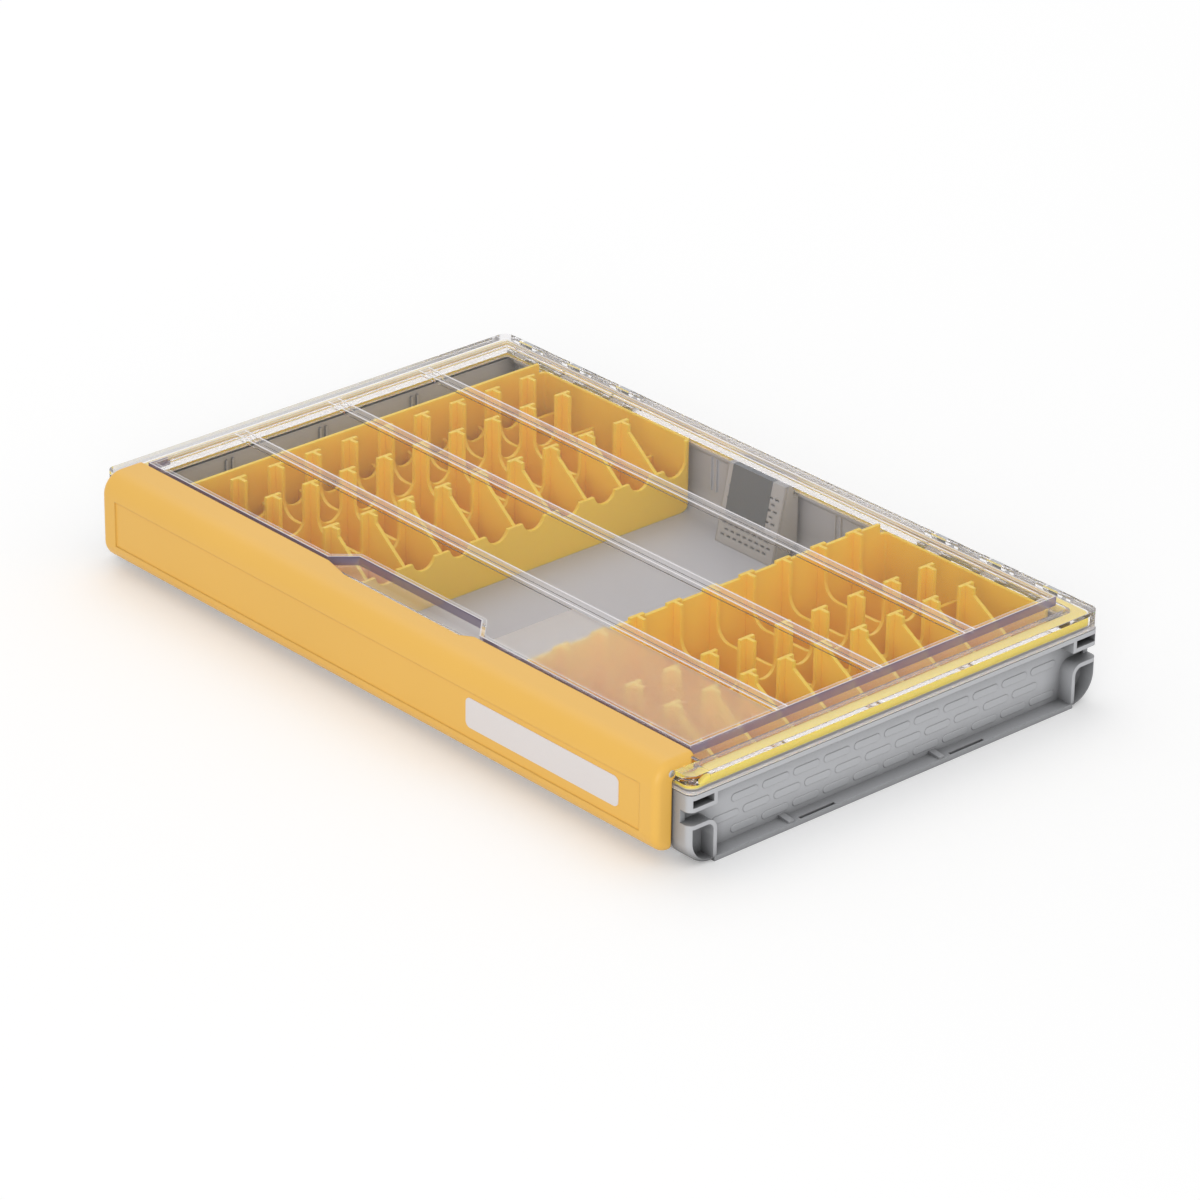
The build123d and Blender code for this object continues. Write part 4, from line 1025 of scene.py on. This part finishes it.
def stage_floor():
    """A flat pale floor, 8 m square, which shows as white and keeps the box's shadow."""
    material, tree = new_material("studio_floor")
    matte = add_node(tree, "ShaderNodeBsdfDiffuse", inputs={"Color": linear("#F0F0F0")})
    glow = add_node(
        tree, "ShaderNodeEmission", inputs={"Color": (1.0, 1.0, 1.0, 1.0), "Strength": 0.22}
    )
    bright = add_node(
        tree, "ShaderNodeAddShader", inputs={0: matte.outputs["BSDF"], 1: glow.outputs[0]}
    )
    seen = seen_directly(tree)
    mixed = add_node(
        tree,
        "ShaderNodeMixShader",
        inputs={0: seen, 1: matte.outputs["BSDF"], 2: bright.outputs["Shader"]},
    )
    add_node(tree, "ShaderNodeOutputMaterial", inputs={"Surface": mixed.outputs["Shader"]})
    mesh = bpy.data.meshes.new("studio_floor")
    half = 4.0
    outline = [(-half, -half, 0), (half, -half, 0), (half, half, 0), (-half, half, 0)]
    mesh.from_pydata(outline, [], [(0, 1, 2, 3)])
    mesh.materials.append(material)
    floor = bpy.data.objects.new("studio_floor", mesh)
    bpy.context.scene.collection.objects.link(floor)
    floor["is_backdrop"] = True


def seen_directly(tree):
    """One for rays that show the background: from the camera, a mirror or clear plastic."""
    rays = add_node(tree, "ShaderNodeLightPath")
    first = add_node(
        tree,
        "ShaderNodeMath",
        {"operation": "MAXIMUM"},
        {0: rays.outputs["Is Camera Ray"], 1: rays.outputs["Is Glossy Ray"]},
    )
    both = add_node(
        tree,
        "ShaderNodeMath",
        {"operation": "MAXIMUM"},
        {0: first.outputs[0], 1: rays.outputs["Is Transmission Ray"]},
    )
    return both.outputs[0]


def room_light(strength):
    """The even light of a white room, and the plain white that shows behind the box."""
    world = bpy.data.worlds.new("white_room")
    world.use_nodes = True
    tree = world.node_tree
    tree.nodes.clear()
    shown = add_node(
        tree, "ShaderNodeBackground", inputs={"Color": (1.0, 1.0, 1.0, 1.0), "Strength": 1.0}
    )
    lights = add_node(
        tree,
        "ShaderNodeBackground",
        inputs={"Color": (1.0, 1.0, 1.0, 1.0), "Strength": strength},
    )
    mixed = add_node(
        tree,
        "ShaderNodeMixShader",
        inputs={0: seen_directly(tree), 1: lights.outputs[0], 2: shown.outputs[0]},
    )
    add_node(tree, "ShaderNodeOutputWorld", inputs={"Surface": mixed.outputs["Shader"]})
    bpy.context.scene.world = world


def soft_light(name, location, size, power):
    """A square area light that faces the middle of the floor."""
    light = bpy.data.lights.new(name, "AREA")
    light.size = size
    light.energy = power
    lamp = bpy.data.objects.new(name, light)
    lamp.location = location
    aim = -Vector(location)
    lamp.rotation_euler = aim.to_track_quat("-Z", "Y").to_euler()
    bpy.context.scene.collection.objects.link(lamp)


def stand_camera(stage):
    """The camera at the photograph's angle.

    Its back axis is (sin a cos e, -cos a cos e, sin e) for azimuth a and elevation e, and
    its right and up axes are turned about that by the roll."""
    a = math.radians(stage.azimuth)
    e = math.radians(stage.elevation)
    r = math.radians(stage.roll)
    back = Vector((math.sin(a) * math.cos(e), -math.cos(a) * math.cos(e), math.sin(e)))
    level = Vector((math.cos(a), math.sin(a), 0))
    upright = back.cross(level)
    right = level * math.cos(r) + upright * math.sin(r)
    up = upright * math.cos(r) - level * math.sin(r)
    data = bpy.data.cameras.new("camera")
    data.lens = stage.lens
    data.sensor_width = 36.0
    data.clip_start = 0.05
    data.clip_end = 50.0
    camera = bpy.data.objects.new("camera", data)
    turn = Matrix((right, up, back)).transposed().to_4x4()
    camera.matrix_world = Matrix.Translation(stage.location) @ turn
    bpy.context.scene.collection.objects.link(camera)
    bpy.context.scene.camera = camera


class LUREBOX_OT_stage(Operator):
    """Lay the floor, set the light and stand the camera"""

    bl_idname = "lurebox.stage"
    bl_label = "Stage"

    def execute(self, context):
        stage = context.scene.lure_box_stage
        stage_floor()
        room_light(stage.sky)
        soft_light("key_light", KEY_PLACE, KEY_SIZE, stage.key_power)
        soft_light("fill_light", FILL_PLACE, FILL_SIZE, stage.fill_power)
        stand_camera(stage)
        context.scene.view_settings.view_transform = "Standard"
        return {"FINISHED"}


OPERATORS = (
    LUREBOX_OT_base,
    LUREBOX_OT_racks,
    LUREBOX_OT_moisture_case,
    LUREBOX_OT_lid,
    LUREBOX_OT_seal,
    LUREBOX_OT_latch,
    LUREBOX_OT_pins,
    LUREBOX_OT_stage,
)


class LUREBOX_PT_panel(Panel):
    """The lure box's pieces, one button each"""

    bl_idname = "LUREBOX_PT_panel"
    bl_label = "Lure box"
    bl_space_type = "VIEW_3D"
    bl_region_type = "UI"
    bl_category = "Lure box"

    def draw(self, context):
        for operator in OPERATORS:
            self.layout.operator(operator.bl_idname)
        for group in ("lure_box_sizes", "lure_box_colours", "lure_box_stage"):
            column = self.layout.column()
            settings = getattr(context.scene, group)
            for name in settings.__annotations__:
                column.prop(settings, name)


GROUPS = (LureBoxSizes, LureBoxColours, LureBoxStage)


def register():
    for group in (*GROUPS, *OPERATORS, LUREBOX_PT_panel):
        bpy.utils.register_class(group)
    bpy.types.Scene.lure_box_sizes = PointerProperty(type=LureBoxSizes)
    bpy.types.Scene.lure_box_colours = PointerProperty(type=LureBoxColours)
    bpy.types.Scene.lure_box_stage = PointerProperty(type=LureBoxStage)


def unregister():
    del bpy.types.Scene.lure_box_stage
    del bpy.types.Scene.lure_box_colours
    del bpy.types.Scene.lure_box_sizes
    for group in reversed((*GROUPS, *OPERATORS, LUREBOX_PT_panel)):
        bpy.utils.unregister_class(group)


def corners():
    """The shown model's lowest and highest corner as plain lists."""
    return [list(corner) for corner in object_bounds()]


def main():
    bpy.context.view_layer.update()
    register()
    for operator in OPERATORS:
        group, name = operator.bl_idname.split(".")
        getattr(getattr(bpy.ops, group), name)()


if __name__ == "__main__":
    main()
